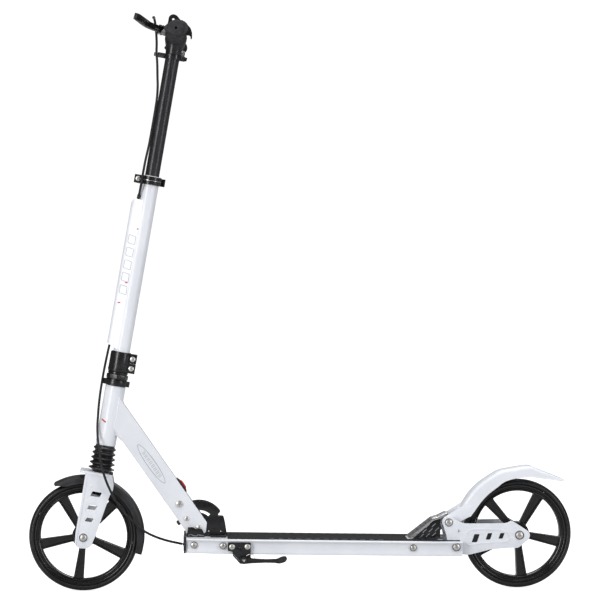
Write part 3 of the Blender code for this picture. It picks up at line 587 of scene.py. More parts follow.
def bush_and_shade_black():
    """Black for real bushes and seals, and also painted shade: dark sheets in deep openings and a dark rim
    behind an edge.
    """
    p = Paint("dark_bush_and_painted_shade", (0.006, 0.006, 0.007), 0.6)
    p.mottle(p.noise(200, 3), (0.004, 0.004, 0.005), (0.012, 0.012, 0.013))
    p.rough(p.noise(300, 2), 0.5, 0.7)
    return p.mat


WHITE = white_paint()
PLATE_WHITE = white_web()
BLACK = black_paint()
WHEEL_BLACK = black_wheel()
TUBE_BLACK = black_tube()
PLASTIC = black_plastic()
RUBBER = black_rubber()
BOOT_RUBBER = boot_rubber()
GRIP = grip_rubber()
TYRE = tyre_rubber()
GRIT = sandpaper()
STEEL = bolt_steel()
DARK_STEEL = dark_steel()
SILVER_AND_GLINT = silver_and_painted_glint()
RED = red_plastic()
PRINT_GREY = print_grey()
PRINT_RED = print_red()
BUSH_AND_SHADE = bush_and_shade_black()


# ---------------------------------------------------------------- bolts
def bolt_head(radius, depth, recess=True):
    """Dome head along +Y from y = 0, with a cross recess."""
    dome = turned([(radius * 0.96, 0.0), (radius, depth * 0.30), (radius * 0.93, depth * 0.62),
                   (radius * 0.62, depth * 0.90), (0.0, depth)], 40, "Y")
    if not recess:
        return dome
    arm = radius * 0.50
    slot = radius * 0.12
    cuts = [box((-arm, arm), (depth * 0.35, depth * 2), (-slot, slot)),
            box((-slot, slot), (depth * 0.35, depth * 2), (-arm, arm))]
    return combined(dome, "DIFFERENCE", cuts)


def cross_bolt(name, radius, shank, half, head, centre, body, nodes, place_in=WORLD, washer=0.0):
    """Through bolt along Y, with a dome head and washer at each end."""
    parts = [(turned([(shank, -half - 0.0004), (shank, half + 0.0004)], 24, "Y"), STEEL)]
    for side in (-1, 1):
        flip = Matrix.Rotation(math.pi if side < 0 else 0, 4, "Z")
        parts.append((turned_by(shifted(bolt_head(radius, head), y=half), flip), STEEL))
        if washer:
            ring = tube(shank, washer, half - 0.0002, half + 0.0007, 40, "Y")
            parts.append((turned_by(ring, flip), DARK_STEEL))
    place_here = place_in @ moved(*centre)
    return piece(name, parts, body, place_here, nodes, angle=30)


# ---------------------------------------------------------------- wheels
def wheel(prefix, at, phase, body):
    """Grooved tyre, channel-spoked rim, hub and bearings about a local Y axis."""
    rim_r = WHEEL_R - TYRE_DEPTH
    tread = [(rim_r, -0.0108), (rim_r + 0.0012, -0.0128), (rim_r + 0.0030, -0.0139),
             (rim_r + 0.0046, -0.0137),
             (rim_r + 0.0064, -0.0126), (rim_r + 0.0080, -0.0106), (rim_r + 0.0090, -0.0082),
             (rim_r + 0.0096, -0.0052), (rim_r + 0.0099, -0.0020)]
    profile = tread + [(r, -y) for r, y in reversed(tread)]
    piece(prefix + "_tyre_detail", [(turned(profile, 144, "Y", True), TYRE)], body, at, [prefix + "_tyre"],
          angle=60)
    windows = []
    pockets = []
    for i in range(SPOKES):
        start = math.degrees(phase) + i * 360 / SPOKES
        end = start + 360 / SPOKES
        windows.append(rounded(sector(0.0795, 0.0205, start, end, 0.0092, 0.0056), 0.0050, 5))
        pockets.append(rounded(spoke_pocket(start), 0.0028, 4))
    hub = circle(0.0108, 40)
    frame_plate = bevelled(plate(circle(0.0835, 120), -0.0092, 0.0092, windows + pockets + [hub]), 0.0009,
                           2)
    web = plate(circle(0.0835, 120), -0.0048, 0.0048, [inset(w, -0.0004) for w in windows] + [hub])
    ring = [(0.0785, -0.0086), (0.0795, -0.0100), (0.0812, -0.0108), (0.0828, -0.0100), (0.0836, -0.0086),
            (0.0850, -0.0086), (0.0858, -0.0102), (0.0872, -0.0112), (0.0892, -0.0112), (0.0899, -0.0104)]
    rim = turned(ring + [(r, -y) for r, y in reversed(ring)], 144, "Y", True)
    boss = [(0.0104, -0.0108), (0.0140, -0.0108), (0.0150, -0.0100), (0.0166, -0.0100), (0.0176, -0.0108),
            (0.0204, -0.0106), (0.0214, -0.0092)]
    hub_ring = turned(boss + [(r, -y) for r, y in reversed(boss)], 72, "Y", True)
    piece(prefix + "_rim_detail", [(frame_plate, WHEEL_BLACK), (web, WHEEL_BLACK), (rim, WHEEL_BLACK),
                                   (hub_ring, WHEEL_BLACK)], body, at, [prefix + "_rim"],
          angle=42)
    race = [(0.0044, -0.0112), (0.0066, -0.0112), (0.0068, -0.0106), (0.0092, -0.0106), (0.0094, -0.0112),
            (0.0104, -0.0112)]
    bearing = turned(race + [(r, -y) for r, y in reversed(race)], 56, "Y", True)
    seal = turned([(0.0067, -0.0108), (0.0093, -0.0108), (0.0093, 0.0108), (0.0067, 0.0108)], 56, "Y", True)
    spacer = tube(0.0044, 0.0062, -0.0290, 0.0290, 40, "Y")
    piece(prefix + "_bearings_detail", [(bearing, DARK_STEEL), (seal, BUSH_AND_SHADE), (spacer, BUSH_AND_SHADE)], body, at,
          [prefix + "_bearings"], angle=30)


def sector(outer, inner, start, end, rim_gap, hub_gap):
    """Window between two spokes."""
    rim_side = math.degrees(math.asin(rim_gap / outer))
    hub_side = math.degrees(math.asin(hub_gap / inner))
    return (arc((0, 0), outer, start + rim_side, end - rim_side, 12)
            + arc((0, 0), inner, end - hub_side, start + hub_side, 4))


def spoke_pocket(angle):
    """Channel sunk into a spoke, tapering towards the hub."""
    points = [(0.0225, -0.0030), (0.0500, -0.0042), (0.0740, -0.0062), (0.0775, -0.0076), (0.0782, 0.0),
              (0.0775, 0.0076), (0.0740, 0.0062), (0.0500, 0.0042), (0.0225, 0.0030)]
    c, s = math.cos(math.radians(angle)), math.sin(math.radians(angle))
    return [(c * r - s * a, s * r + c * a) for r, a in points]


# ---------------------------------------------------------------- fork and front fender
FORK_LEG = [(-0.026, 0.117), (-0.0255, 0.060), (-0.0254, 0.005), (-0.0235, -0.015), (-0.0145, -0.0204),
            (0.0011, -0.0180), (0.0064, -0.0116), (0.0110, 0.0078), (0.0238, 0.0831), (0.0280, 0.0929),
            (0.0277, 0.1030), (0.0225, 0.117)]
LEG_INNER = 0.030
LEG_OUTER = 0.033


def fork():
    windows = [rounded(slanted(at, w, h, 0.003), 0.0014) for at, w, h in
               (((-0.0010, 0.0812), 0.0172, 0.0090), ((-0.0038, 0.0566), 0.0148, 0.0083),
                ((-0.0053, 0.0334), 0.0126, 0.0072))]
    outline = rounded(FORK_LEG, 0.0032, 5)
    hole = circle(0.0044, 28, (-FORK_OFFSET, 0))
    parts = []
    for side in (-1, 1):
        low, high = sorted((side * LEG_INNER, side * LEG_OUTER))
        parts.append((bevelled(plate(outline, low, high, windows + [hole]), 0.0007, 3), PLATE_WHITE))
        fold = [(-0.0262, 0.112), (-0.0257, 0.060), (-0.0256, 0.005), (-0.0238, -0.0135),
                (-0.0205, -0.0165),
                (-0.0212, 0.005), (-0.0213, 0.060), (-0.0220, 0.112)]
        low, high = sorted((side * (LEG_INNER + 0.0005), side * (LEG_OUTER + 0.0011)))
        parts.append((bevelled(plate(rounded(fold, 0.0015), low, high), 0.0006, 3), PLATE_WHITE))
        pad = arc((-FORK_OFFSET, 0), 0.0095, 0, 354, 47)
        low, high = sorted((side * (LEG_INNER - 0.0006), side * (LEG_OUTER + 0.0006)))
        parts.append((bevelled(plate(pad, low, high, [hole]), 0.0004, 2), PLATE_WHITE))
    crown = [(-0.037, -0.030), (-0.030, -0.0345), (0.016, -0.0345), (0.0225, -0.028),
             (0.0225, 0.028), (0.016, 0.0345), (-0.030, 0.0345), (-0.037, 0.030)]
    top = bevelled(plate(rounded(crown, 0.003), CROWN_S - 0.004, CROWN_S, axis="Z"), 0.0009, 3)
    lip = [(-0.0376, CROWN_S - 0.0048), (-0.0376, CROWN_S - 0.0008), (-0.0352, CROWN_S - 0.0008),
           (-0.0358, CROWN_S - 0.0048)]
    front_lip = bevelled(plate(lip, -0.0290, 0.0290), 0.0005, 2)
    parts += [(top, WHITE), (front_lip, WHITE)]
    piece("fork_detail", parts, "fork", STEER, ["fork"], angle=30)
    rivets = []
    for side in (-1, 1):
        head = bolt_head(0.0022, 0.0011, recess=False)
        flip = Matrix.Rotation(math.pi if side < 0 else 0, 4, "Z")
        x = -0.0121 * (1 if side > 0 else -1)
        rivets.append((turned_by(shifted(head, x, LEG_OUTER - 0.0001, 0.0951), flip), WHITE))
    piece("fork_rivets", rivets, "fork", STEER, (), angle=30)
    knob = bevelled(turned([(0.0036, CROWN_S - 0.0002), (0.0036, CROWN_S + 0.0038),
                            (0.0026, CROWN_S + 0.0055)],
                           28), 0.0005, 2)
    piece("crown_knob", [(shifted(knob, 0.0195, -0.0200, 0.0), PLASTIC)], "fork", STEER, ())
    slider = turned([(0.0104, CROWN_S + 0.0002), (0.0104, 0.2245), (0.0096, 0.2252)], 40)
    piece("fork_slider_detail", [(slider, STEEL)], "fork", STEER, ["fork_slider"])
    cross_bolt("front_axle_detail", 0.0062, 0.0040, LEG_OUTER + 0.0009, 0.0040, (-FORK_OFFSET, 0, 0),
               "fork",
               ["front_axle"], STEER, 0.0076)


def fender_section(half, skin, low_r, top_r, angle, corner=0.0075, rim=0.0012):
    """Rounded U section of a mudguard at one angle about the wheel's axle."""
    outside = [(-half, low_r)] + [(-half, low_r + (top_r - corner - low_r) * t) for t in (0.35, 0.7)]
    corner_left = [(-half + corner * (1 - math.cos(a)), top_r - corner + corner * math.sin(a))
                   for a in [math.radians(k) for k in (0, 18, 36, 54, 72, 90)]]
    outer = outside + corner_left
    outer = outer + [(-y, r) for y, r in reversed(outer)]
    outer[0] = (-half - rim, low_r)
    outer[-1] = (half + rim, low_r)
    inner = [(y * (half - skin) / half, low_r if abs(r - low_r) < 1e-9 else max(low_r, r - skin))
             for y, r in reversed(outer)]
    inner = [(max(-(half - skin), min(half - skin, y)), r) for y, r in inner]
    return [(r * math.cos(angle), y, r * math.sin(angle)) for y, r in outer + inner]


def front_fender():
    stations = [(-8, 0.0975), (8, 0.0968), (26, 0.0965), (118, 0.0965), (129, 0.1060)]
    sections = []
    steps = 68
    for i in range(steps + 1):
        angle = -8 + (129 + 8) * i / steps
        low = spaced(stations, angle)
        sections.append(fender_section(0.0232, 0.0019, low, 0.1105, math.radians(angle),
                                       min(0.0075, 0.1098 - low)))
    shell = loft(sections)
    block = bevelled(box((-0.0165, -0.0005 + 0.0155), (-0.012, 0.012), (0.1085, CROWN_S - 0.0043)), 0.0008)
    ridge = []
    for i in range(45):
        angle = math.radians(2 + 110 * i / 44)
        ridge.append([((0.1103 + dr) * math.cos(angle), y, (0.1103 + dr) * math.sin(angle))
                      for dr, y in ((-0.0004, -0.0040), (0.0006, -0.0026), (0.0006, 0.0026),
                                    (-0.0004, 0.0040))])
    piece("front_fender_detail", [(shell, PLASTIC), (block, PLASTIC), (loft(ridge), PLASTIC)], "fork",
          FRONT_AXLE, ["front_fender"], angle=50)


def spaced(table, value):
    """Value read from a table of (position, amount), straight between its rows."""
    if value <= table[0][0]:
        return table[0][1]
    for (a, low), (b, high) in zip(table, table[1:]):
        if value <= b:
            return low + (high - low) * (value - a) / (b - a)
    return table[-1][1]


# ---------------------------------------------------------------- steering column
def headset():
    cup = turned([(BAR_R, 0.335), (BAR_R, HEAD_LOW_S + 0.001), (STEERER_R, HEAD_LOW_S + 0.001),
                  (STEERER_R, 0.345)], 48)
    piece("steerer_tube_detail", [(cup, DARK_STEEL)], "steerer", STEER, ["steerer_tube"])
    hexagon = rounded(circle(0.0200, 8), 0.0012, 3)
    nut = bevelled(plate(hexagon, 0.2930, 0.3005, [circle(BORE_R, 48)], "Z"), 0.0006)
    flange = turned([(BORE_R, NUT_LOW_S), (0.0182, NUT_LOW_S), (0.0190, 0.2913), (0.0190, 0.2926),
                     (0.0174, 0.2934),
                     (0.0174, 0.3018), (0.0182, 0.3026), (0.0182, 0.3050), (0.0170, CLAMP_LOW_S - 0.0004),
                     (BORE_R, CLAMP_LOW_S - 0.0004)], 64, "Z", True)
    piece("headset_nut_detail", [(nut, BLACK), (flange, BLACK)], "steerer", STEER, ["headset_nut"],
          angle=32)
    arm = [(-0.0234, -0.004), (-0.0240, 0.0), (-0.0234, 0.004), (-0.0190, 0.0085)]
    tab = [(0.0195, 0.0070), (0.0225, 0.0062), (0.0240, 0.0042), (0.0246, 0.0015), (0.0246, -0.0015),
           (0.0240, -0.0042), (0.0225, -0.0062), (0.0195, -0.0070)]
    outline = arc((0, 0), 0.0208, 204, 340, 20) + tab[::-1] + arc((0, 0), 0.0208, 20, 156, 20) + arm[::-1]
    ring = bevelled(plate(outline, HEAD_TOP_S + 0.0006, NUT_LOW_S - 0.0004, [circle(BORE_R, 48)], "Z"),
                    0.0012, 3)
    groove = turned([(0.0190, 0.2846), (0.0213, 0.2846), (0.0213, 0.2862), (0.0190, 0.2862)], 64, "Z", True)
    piece("headset_ring_detail", [(ring, BLACK), (groove, BLACK)], "steerer", STEER, ["headset_ring"],
          angle=32)


def boot():
    """Glossy bellows between head tube and fork crown."""
    ridges = 5
    low, top = CROWN_S + 0.0002, HEAD_LOW_S - 0.0003
    pitch = (top - low) / (ridges + 0.4)
    outer = [(0.0150, low), (0.0158, low + 0.1 * pitch)]
    for i in range(ridges):
        base = low + 0.25 * pitch + i * pitch
        peak = 0.0243 - 0.0009 * i
        valley = 0.0172 if i else 0.0160
        for t, share in ((0.0, 0.0), (0.14, 0.16), (0.28, 0.56), (0.40, 0.90), (0.5, 1.0), (0.60, 0.90),
                         (0.72, 0.56), (0.86, 0.16)):
            outer.append((valley + (peak - valley) * share, base + t * pitch))
    outer += [(0.0172, top - 0.0015), (0.0180, top)]
    inner = [(r - 0.0012, h) for r, h in reversed(outer)]
    cover = piece("boot_detail", [(turned(outer + inner, 72, "Z", True), BOOT_RUBBER)], None, STEER,
                  ["boot"],
                  angle=60)
    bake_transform(cover)
    wound = spring(0.0086, 0.0012, 0.2253, 0.3345, 6)
    coil = piece("fork_spring_detail", [(wound, STEEL)], None, STEER, ["fork_spring"])
    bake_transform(coil)


def column_clamp():
    """Split collar with ears behind and two bolts."""
    split, ear = 0.0008, 0.0110
    inner = arc((0, 0), COLUMN_R + 0.0003, -3, -357, 64)
    outer = arc((0, 0), 0.0192, 36, 324, 56)
    back = [(0.0280, ear), (0.0298, ear - 0.0016)]
    outline = ([(0.0298, split)] + back[::-1] + outer + [(x, -y) for x,
                                                         y in back] + [(0.0298, -split)] + inner)
    collar = plate(outline, CLAMP_LOW_S, CLAMP_TOP_S, axis="Z")
    middle = (CLAMP_LOW_S + CLAMP_TOP_S) / 2
    cuts = [box((0.0175, 0.032), (-0.02, 0.02), (middle - 0.0006, middle + 0.0006))]
    for height in (0.3152, 0.3327):
        cuts.append(shifted(turned([(0.0028, -0.03), (0.0028, 0.03)], 24, "Y"), 0.0225, 0, height))
    collar = combined(bevelled(collar, 0.0010, 3), "DIFFERENCE", cuts)
    rib = turned([(0.0186, CLAMP_LOW_S + 0.0030), (0.0198, CLAMP_LOW_S + 0.0034),
                  (0.0198, CLAMP_LOW_S + 0.0050),
                  (0.0186, CLAMP_LOW_S + 0.0054)], 72, "Z", True)
    slit = turned([(0.0160, CLAMP_TOP_S - 0.0002), (0.0175, CLAMP_TOP_S - 0.0002),
                   (0.0172, CLAMP_TOP_S + 0.0012),
                   (0.0160, CLAMP_TOP_S + 0.0012)], 72, "Z", True)
    piece("column_clamp_detail", [(collar, BLACK), (rib, BLACK), (slit, BLACK)], "steerer", STEER,
          ["column_clamp"], angle=32)
    for name, height in (("column_clamp_bolt_low", 0.3152), ("column_clamp_bolt_high", 0.3327)):
        cross_bolt(name + "_detail", 0.0050, 0.0026, 0.0113, 0.0030, (0.0225, 0, height), "steerer", [name],
                   STEER)


def column():
    """White telescope tube with the cable fairing along its front."""
    body = tube(BORE_R, COLUMN_R, CLAMP_LOW_S + 0.0004, COLUMN_TOP_S, 96)
    nose = [(-0.0240, -0.0102), (-0.0262, -0.0088), (-0.0277, -0.0062), (-0.0287, -0.0030), (-0.0290, 0.0),
            (-0.0287, 0.0030), (-0.0277, 0.0062), (-0.0262, 0.0088), (-0.0240, 0.0102)]
    root = arc((0, 0), 0.0143, 112, 248, 16)
    outline = root + nose

    def level(t, x):
        low = FIN_LOW_S - 0.5 * (x + 0.015)
        return low + (FIN_TOP_S - low) * t

    sections = [[(x, y, level(t, x)) for x, y in outline] for t in (0.0, 0.25, 0.5, 0.75, 0.97)]
    drawn_in = []
    for x, y in outline:
        out = max(0.0, (-0.0180 - x) / 0.011)
        drawn_in.append((x + 0.0022 * out * out, y * (1 - 0.06 * out), FIN_TOP_S - 0.0035 * out * out))
    sections.append(drawn_in)
    fin = loft(sections)
    # the fairing's open top, where the cable goes in
    mouth = shifted(turned([(0.0031, -0.010), (0.0031, 0.02)], 24), -0.0178, -0.0040, FIN_TOP_S)
    whole = combined(body, "UNION", [fin])
    whole = combined(whole, "DIFFERENCE", [mouth])
    piece("column_tube_detail", [(whole, WHITE)], "steerer", STEER, ["column_tube"],
          angle=34)
    column_print()


def slanted_frame(x0, x1, height, rise, width):
    """Printed outline of a leaning bar, and its inside."""
    outer = rounded([(x0, 0.0), (x1, rise), (x1, height + rise), (x0, height)], 0.0022, 4)
    return outer, inset(outer, width)


def on_fairing(bm, side):
    """Sets a flat print, made about y = 0, onto the fairing's flat side face."""
    for v in bm.verts:
        v.co.y = side * (0.01335 + (v.co.x + 0.0054) / 6 + v.co.y)
    return bm


def column_print():
    """Plain outlined bars and red dashes that stand for the printing on the fairing."""
    parts = []
    for side in (-1, 1):
        for i in range(5):
            outer, hole = slanted_frame(-0.0232, -0.0096, 0.0158, -0.0022, 0.00075)
            strip = shifted(plate(outer, -0.0002, 0.00012, [hole]), 0, 0, 0.4485 + i * 0.0232)
            parts.append((on_fairing(strip, side), PRINT_GREY))
        for x, s in ((-0.0085, 0.5690), (-0.0130, 0.4690), (-0.0200, 0.4310)):
            dash = plate(rounded(slanted((x, 0.0), 0.0044, 0.0021, 0.0014), 0.0005), -0.0002, 0.00018)
            parts.append((on_fairing(shifted(dash, 0, 0, s), side), PRINT_RED))
    piece("column_print", parts, "steerer", STEER, (), angle=30)


def height_clamp():
    """Split collar in front of which a skewer and cam lever close it."""
    split = 0.0010
    low, top = HEIGHT_CLAMP_S
    inner = arc((0, 0), COLUMN_R + 0.0003, 176, -176, 64)
    outer = arc((0, 0), 0.0182, -140, 140, 56)
    nose = [(-0.0290, -0.0115), (-0.0310, -0.0095)]
    outline = ([(-0.0310, -split)] + nose[::-1] + outer + [(x, -y) for x,
                                                           y in nose] + [(-0.0310, split)] + inner)
    middle = (low + top) / 2
    bore = shifted(turned([(0.0028, -0.03), (0.0028, 0.03)], 24, "Y"), -0.0240, 0, middle)
    collar = combined(bevelled(plate(outline, low, top, axis="Z"), 0.0011, 3), "DIFFERENCE", [bore])
    lip = turned([(0.0155, top - 0.0012), (0.0176, top - 0.0012), (0.0176, top + 0.0010),
                  (0.0155, top + 0.0010)],
                 72, "Z", True)
    piece("height_clamp_detail", [(collar, BLACK), (lip, WHITE)], "steerer", STEER, ["height_clamp"],
          angle=32)
    line = tube(0.0181, 0.0184, middle - 0.0004, middle + 0.0004, 72)
    piece("height_clamp_line", [(line, SILVER_AND_GLINT)], "steerer", STEER, ())
    near = turned_by(shifted(bolt_head(0.0049, 0.0034), y=0.0118), Matrix.Rotation(math.pi, 4, "Z"))
    shank = turned([(0.0026, -0.0119), (0.0026, 0.0150)], 24, "Y")
    piece("clamp_skewer_detail", [(near, STEEL), (shank, STEEL)], "steerer",
          STEER @ moved(-0.0240, 0, middle),
          ["clamp_skewer"], angle=30)
    hub = arc((0, 0.0206), 0.0052, 190, 360, 20)
    blade = [(0.0180, 0.0220), (0.0360, 0.0215), (0.0480, 0.0160), (0.0502, 0.0185), (0.0440, 0.0250),
             (0.0250, 0.0265), (0.0010, 0.0262)]
    lever = plate(rounded(hub + blade, 0.0020, 3), low + 0.0005, top - 0.0005, axis="Z")
    barrel = shifted(turned([(0.0030, low - 0.0002), (0.0036, low + 0.0004), (0.0036, top - 0.0004),
                             (0.0030, top + 0.0002)], 32), 0, 0.0206, 0)
    piece("quick_release_lever_detail", [(bevelled(lever, 0.0014, 3), BLACK), (barrel, STEEL)],
          "quick_release",
          STEER @ moved(-0.0240), ["quick_release_lever"], angle=32)


# ---------------------------------------------------------------- handlebar
def handlebar():
    fluted = []
    for i in range(120):
        angle = 2 * math.pi * i / 120
        groove = 0.00035 * max(0.0, math.cos(4 * angle)) ** 12
        fluted.append(((STEERER_R - groove) * math.cos(angle), (STEERER_R - groove) * math.sin(angle)))
    inner = plate(fluted, INNER_LOW_S, INNER_TOP_S, [circle(0.0112, 48)], "Z")
    piece("inner_tube_detail", [(inner, TUBE_BLACK)], "handlebar", STEER, ["inner_tube"],
          angle=40)
    bar = turned([(0.009, -BAR_HALF), (BAR_R - 0.0006, -BAR_HALF), (BAR_R, -BAR_HALF + 0.0008),
                  (BAR_R, BAR_HALF - 0.0008), (BAR_R - 0.0006, BAR_HALF), (0.009, BAR_HALF)], 64, "Y", True)
    bore = INNER_TOP_S + 0.0003 - BAR_S
    socket = turned([(BORE_R, bore), (BORE_R, -0.0300), (0.0140, -0.0300), (0.0144, -0.0285),
                     (0.0148, -0.0240),
                     (0.0158, -0.0180), (0.0178, -0.0120), (0.0198, -0.0050), (0.0202, 0.0030),
                     (0.0190, 0.0080),
                     (0.0160, 0.0122), (0.0110, 0.0150), (0.0, 0.0160)], 64)
    cheeks = turned([(0.0128, -0.0265), (0.0136, -0.0255), (0.0140, -0.0120), (0.0142, 0.0),
                     (0.0140, 0.0120),
                     (0.0136, 0.0255), (0.0128, 0.0265)], 64, "Y")
    piece("handlebar_detail", [(bar, BLACK), (socket, BLACK), (cheeks, BLACK)], "handlebar", BAR,
          ["handlebar"],
          angle=34)
    dome = turned([(0.0066, -0.0040), (0.0068, 0.0010), (0.0058, 0.0034), (0.0032, 0.0050), (0.0, 0.0054)],
                  32)
    dome.transform(Matrix.Rotation(math.radians(90), 4, "Y"))
    piece("bar_clamp_screw", [(shifted(dome, 0.0160, 0, -0.0270), DARK_STEEL)], "handlebar", BAR, ())
    grips()
    cable_collar()


GRIP_FLANGE = [(-0.0222, -0.0005), (-0.0150, 0.0068), (-0.0060, 0.0122), (0.0030, 0.0142), (0.0120, 0.0128),
               (0.0185, 0.0080), (0.0215, 0.0010), (0.0205, -0.0060), (0.0140, -0.0118), (0.0040, -0.0145),
               (-0.0060, -0.0128), (-0.0150, -0.0075)]


def grips():
    """Ribbed grips with flanges; the outer flange comes to a rounded point in front."""
    for name, side in (("grip_left", -1), ("grip_right", 1)):
        rows = [(BAR_R + 0.0003, BAR_HALF + 0.0003), (BAR_R + 0.0003, 0.094), (0.0176, 0.094),
                (0.0185, 0.0948),
                (0.0185, 0.0982), (0.0172, 0.0996), (0.0154, 0.1016)]
        ribs = 22
        for i in range(ribs):
            start = 0.1035 + i * 0.0042
            swell = 0.0004 * math.cos(math.pi * (i / (ribs - 1) - 0.5) * 2)
            rows += [(0.0150 - swell, start), (0.0143 - swell, start + 0.0008),
                     (0.0143 - swell, start + 0.0016),
                     (0.0150 - swell, start + 0.0024)]
        rows += [(0.0148, 0.1988), (0.0145, 0.2026), (0.0145, 0.2066), (0.0138, 0.2078), (0.0120, 0.2084)]
        # the end cap closes over the bar with a small hole in its middle
        rows += [(0.0024, 0.2084), (0.0020, 0.2076), (0.0020, BAR_HALF + 0.0010)]
        body = turned([(r, side * t) for r, t in rows], 64, "Y", True)
        low, high = sorted((side * 0.2030, side * 0.2064))
        flange = bevelled(plate(rounded(GRIP_FLANGE, 0.0040, 4), low, high, [circle(0.0130, 48)]), 0.0010,
                          3)
        # painted shade: a slightly larger dark plate just behind the flange stands for the shade around its
        # edge
        low, high = sorted((side * 0.2012, side * 0.2032))
        edge = plate(rounded(inset(GRIP_FLANGE, -0.0009), 0.0040, 4), low, high, [circle(0.0130, 48)])
        piece(name + "_detail", [(body, GRIP), (flange, GRIP), (edge, BUSH_AND_SHADE)], "handlebar", UPRIGHT, [name],
              angle=45)


def cable_collar():
    outline = (arc((0, 0), 0.0162, 196, 344, 30) + [(0.0215, -0.0030), (0.0230, 0.0), (0.0215, 0.0030)]
               + arc((0, 0), 0.0162, 16, 164, 30) + [(-0.0276, 0.0022), (-0.0276, -0.0034)])
    ring = bevelled(plate(outline, 0.8855, 0.8945, [circle(BORE_R, 48)], "Z"), 0.0009, 3)
    wing = bevelled(plate(rounded([(0.0205, 0.8872), (0.0262, 0.8862), (0.0268, 0.8938), (0.0205, 0.8928)],
                                  0.0015),
                          -0.0012, 0.0012), 0.0004)
    eye = shifted(tube(CABLE_R + 0.0003, 0.0042, 0.8868, 0.8932, 32), -0.0302, -0.0015)
    piece("cable_collar_detail", [(ring, BLACK), (wing, BLACK), (eye, BLACK)], "handlebar", STEER,
          ["cable_collar"], angle=32)


def brake():
    """Clamp with the lever's clevis and a tab, the lever on its pin, and the small switch body beside it."""
    hook = [(0.0205, 0.0165), (0.0262, 0.0105), (0.0290, 0.0020), (0.0290, -0.0085), (0.0262, -0.0100),
            (0.0262, -0.0040), (0.0215, -0.0020)]
    outline = (arc((0, 0), 0.0165, 180, 345, 24) + hook[::-1] + [(0.0100, 0.0225), (0.0022, 0.0322)]
               + arc((-0.0047, 0.0262), 0.0086, 60, 180, 16) + [(-0.0150, 0.0180), (-0.0165, 0.0100)])
    tab_hole = shifted(turned([(0.0023, -0.10), (0.0023, -0.07)], 32, "Y"), -0.0047, 0, 0.0262)
    clamp = bevelled(plate(rounded(outline, 0.0022, 3), -0.0935, -0.0835, [circle(BAR_R + 0.0003, 48)]),
                     0.0010, 3)
    clamp = combined(clamp, "DIFFERENCE", [tab_hole])
    to_lever = tilted(math.pi + LEVER_TILT)
    arm_outline = rounded([(0.0120, -0.0890), (0.0120, -0.0705), (0.0300, -0.0700), (0.0340, -0.0720),
                           (0.0340, -0.0810), (0.0320, -0.0835)], 0.0030)
    arms = []
    for t0, t1 in ((0.0058, 0.0080), (-0.0080, -0.0058)):
        arms.append(turned_by(bevelled(plate(arm_outline, t0, t1, axis="Z"), 0.0006), to_lever))
    pin_profile = [(0.0034, -0.0094), (0.0040, -0.0086), (0.0040, -0.0080), (0.0025, -0.0080),
                   (0.0025, 0.0080),
                   (0.0040, 0.0080), (0.0040, 0.0086), (0.0034, 0.0094)]
    pin = turned_by(shifted(turned(pin_profile, 32), LEVER_PIVOT, -0.0765, 0), to_lever)
    adjuster = turned([(0.0034, -0.0900), (0.0042, -0.0910), (0.0042, -0.1010), (0.0034, -0.1020)], 24, "Y")
    parts = [(clamp, BLACK), (pin, STEEL), (shifted(adjuster, -0.0220, 0, 0.0020), SILVER_AND_GLINT)]
    parts += [(arm, BLACK) for arm in arms]
    piece("brake_perch_detail", parts, "handlebar", UPRIGHT, ["brake_perch"], angle=32)
    lever()


def lever():
    blade = [(-0.0050, 0.0040), (-0.0050, -0.0060), (0.0060, -0.0180), (0.0200, -0.0290), (0.0255, -0.0560),
             (0.0370, -0.1080), (0.0440, -0.1180), (0.0490, -0.1170), (0.0480, -0.1080), (0.0380, -0.0540),
             (0.0320, -0.0260), (0.0260, -0.0060), (0.0140, 0.0060), (0.0040, 0.0062)]
    outline = rounded(blade, 0.0060, 5)
    body = bevelled(plate(outline, -0.0053, 0.0053, [circle(0.0028, 28)], "Z"), 0.0016, 3)
    rib = [(0.0235, -0.0330), (0.0275, -0.0560), (0.0385, -0.1070), (0.0440, -0.1150), (0.0462, -0.1140),
           (0.0455, -0.1070), (0.0355, -0.0540), (0.0295, -0.0310)]
    relief = bevelled(plate(rounded(rib, 0.0030, 4), -0.0060, 0.0060, axis="Z"), 0.0007, 2)
    piece("brake_lever_detail", [(body, BLACK), (relief, BLACK)], "brake_lever",
          LEVER_PLANE @ moved(LEVER_PIVOT, -0.0765, 0), ["brake_lever"], angle=32)


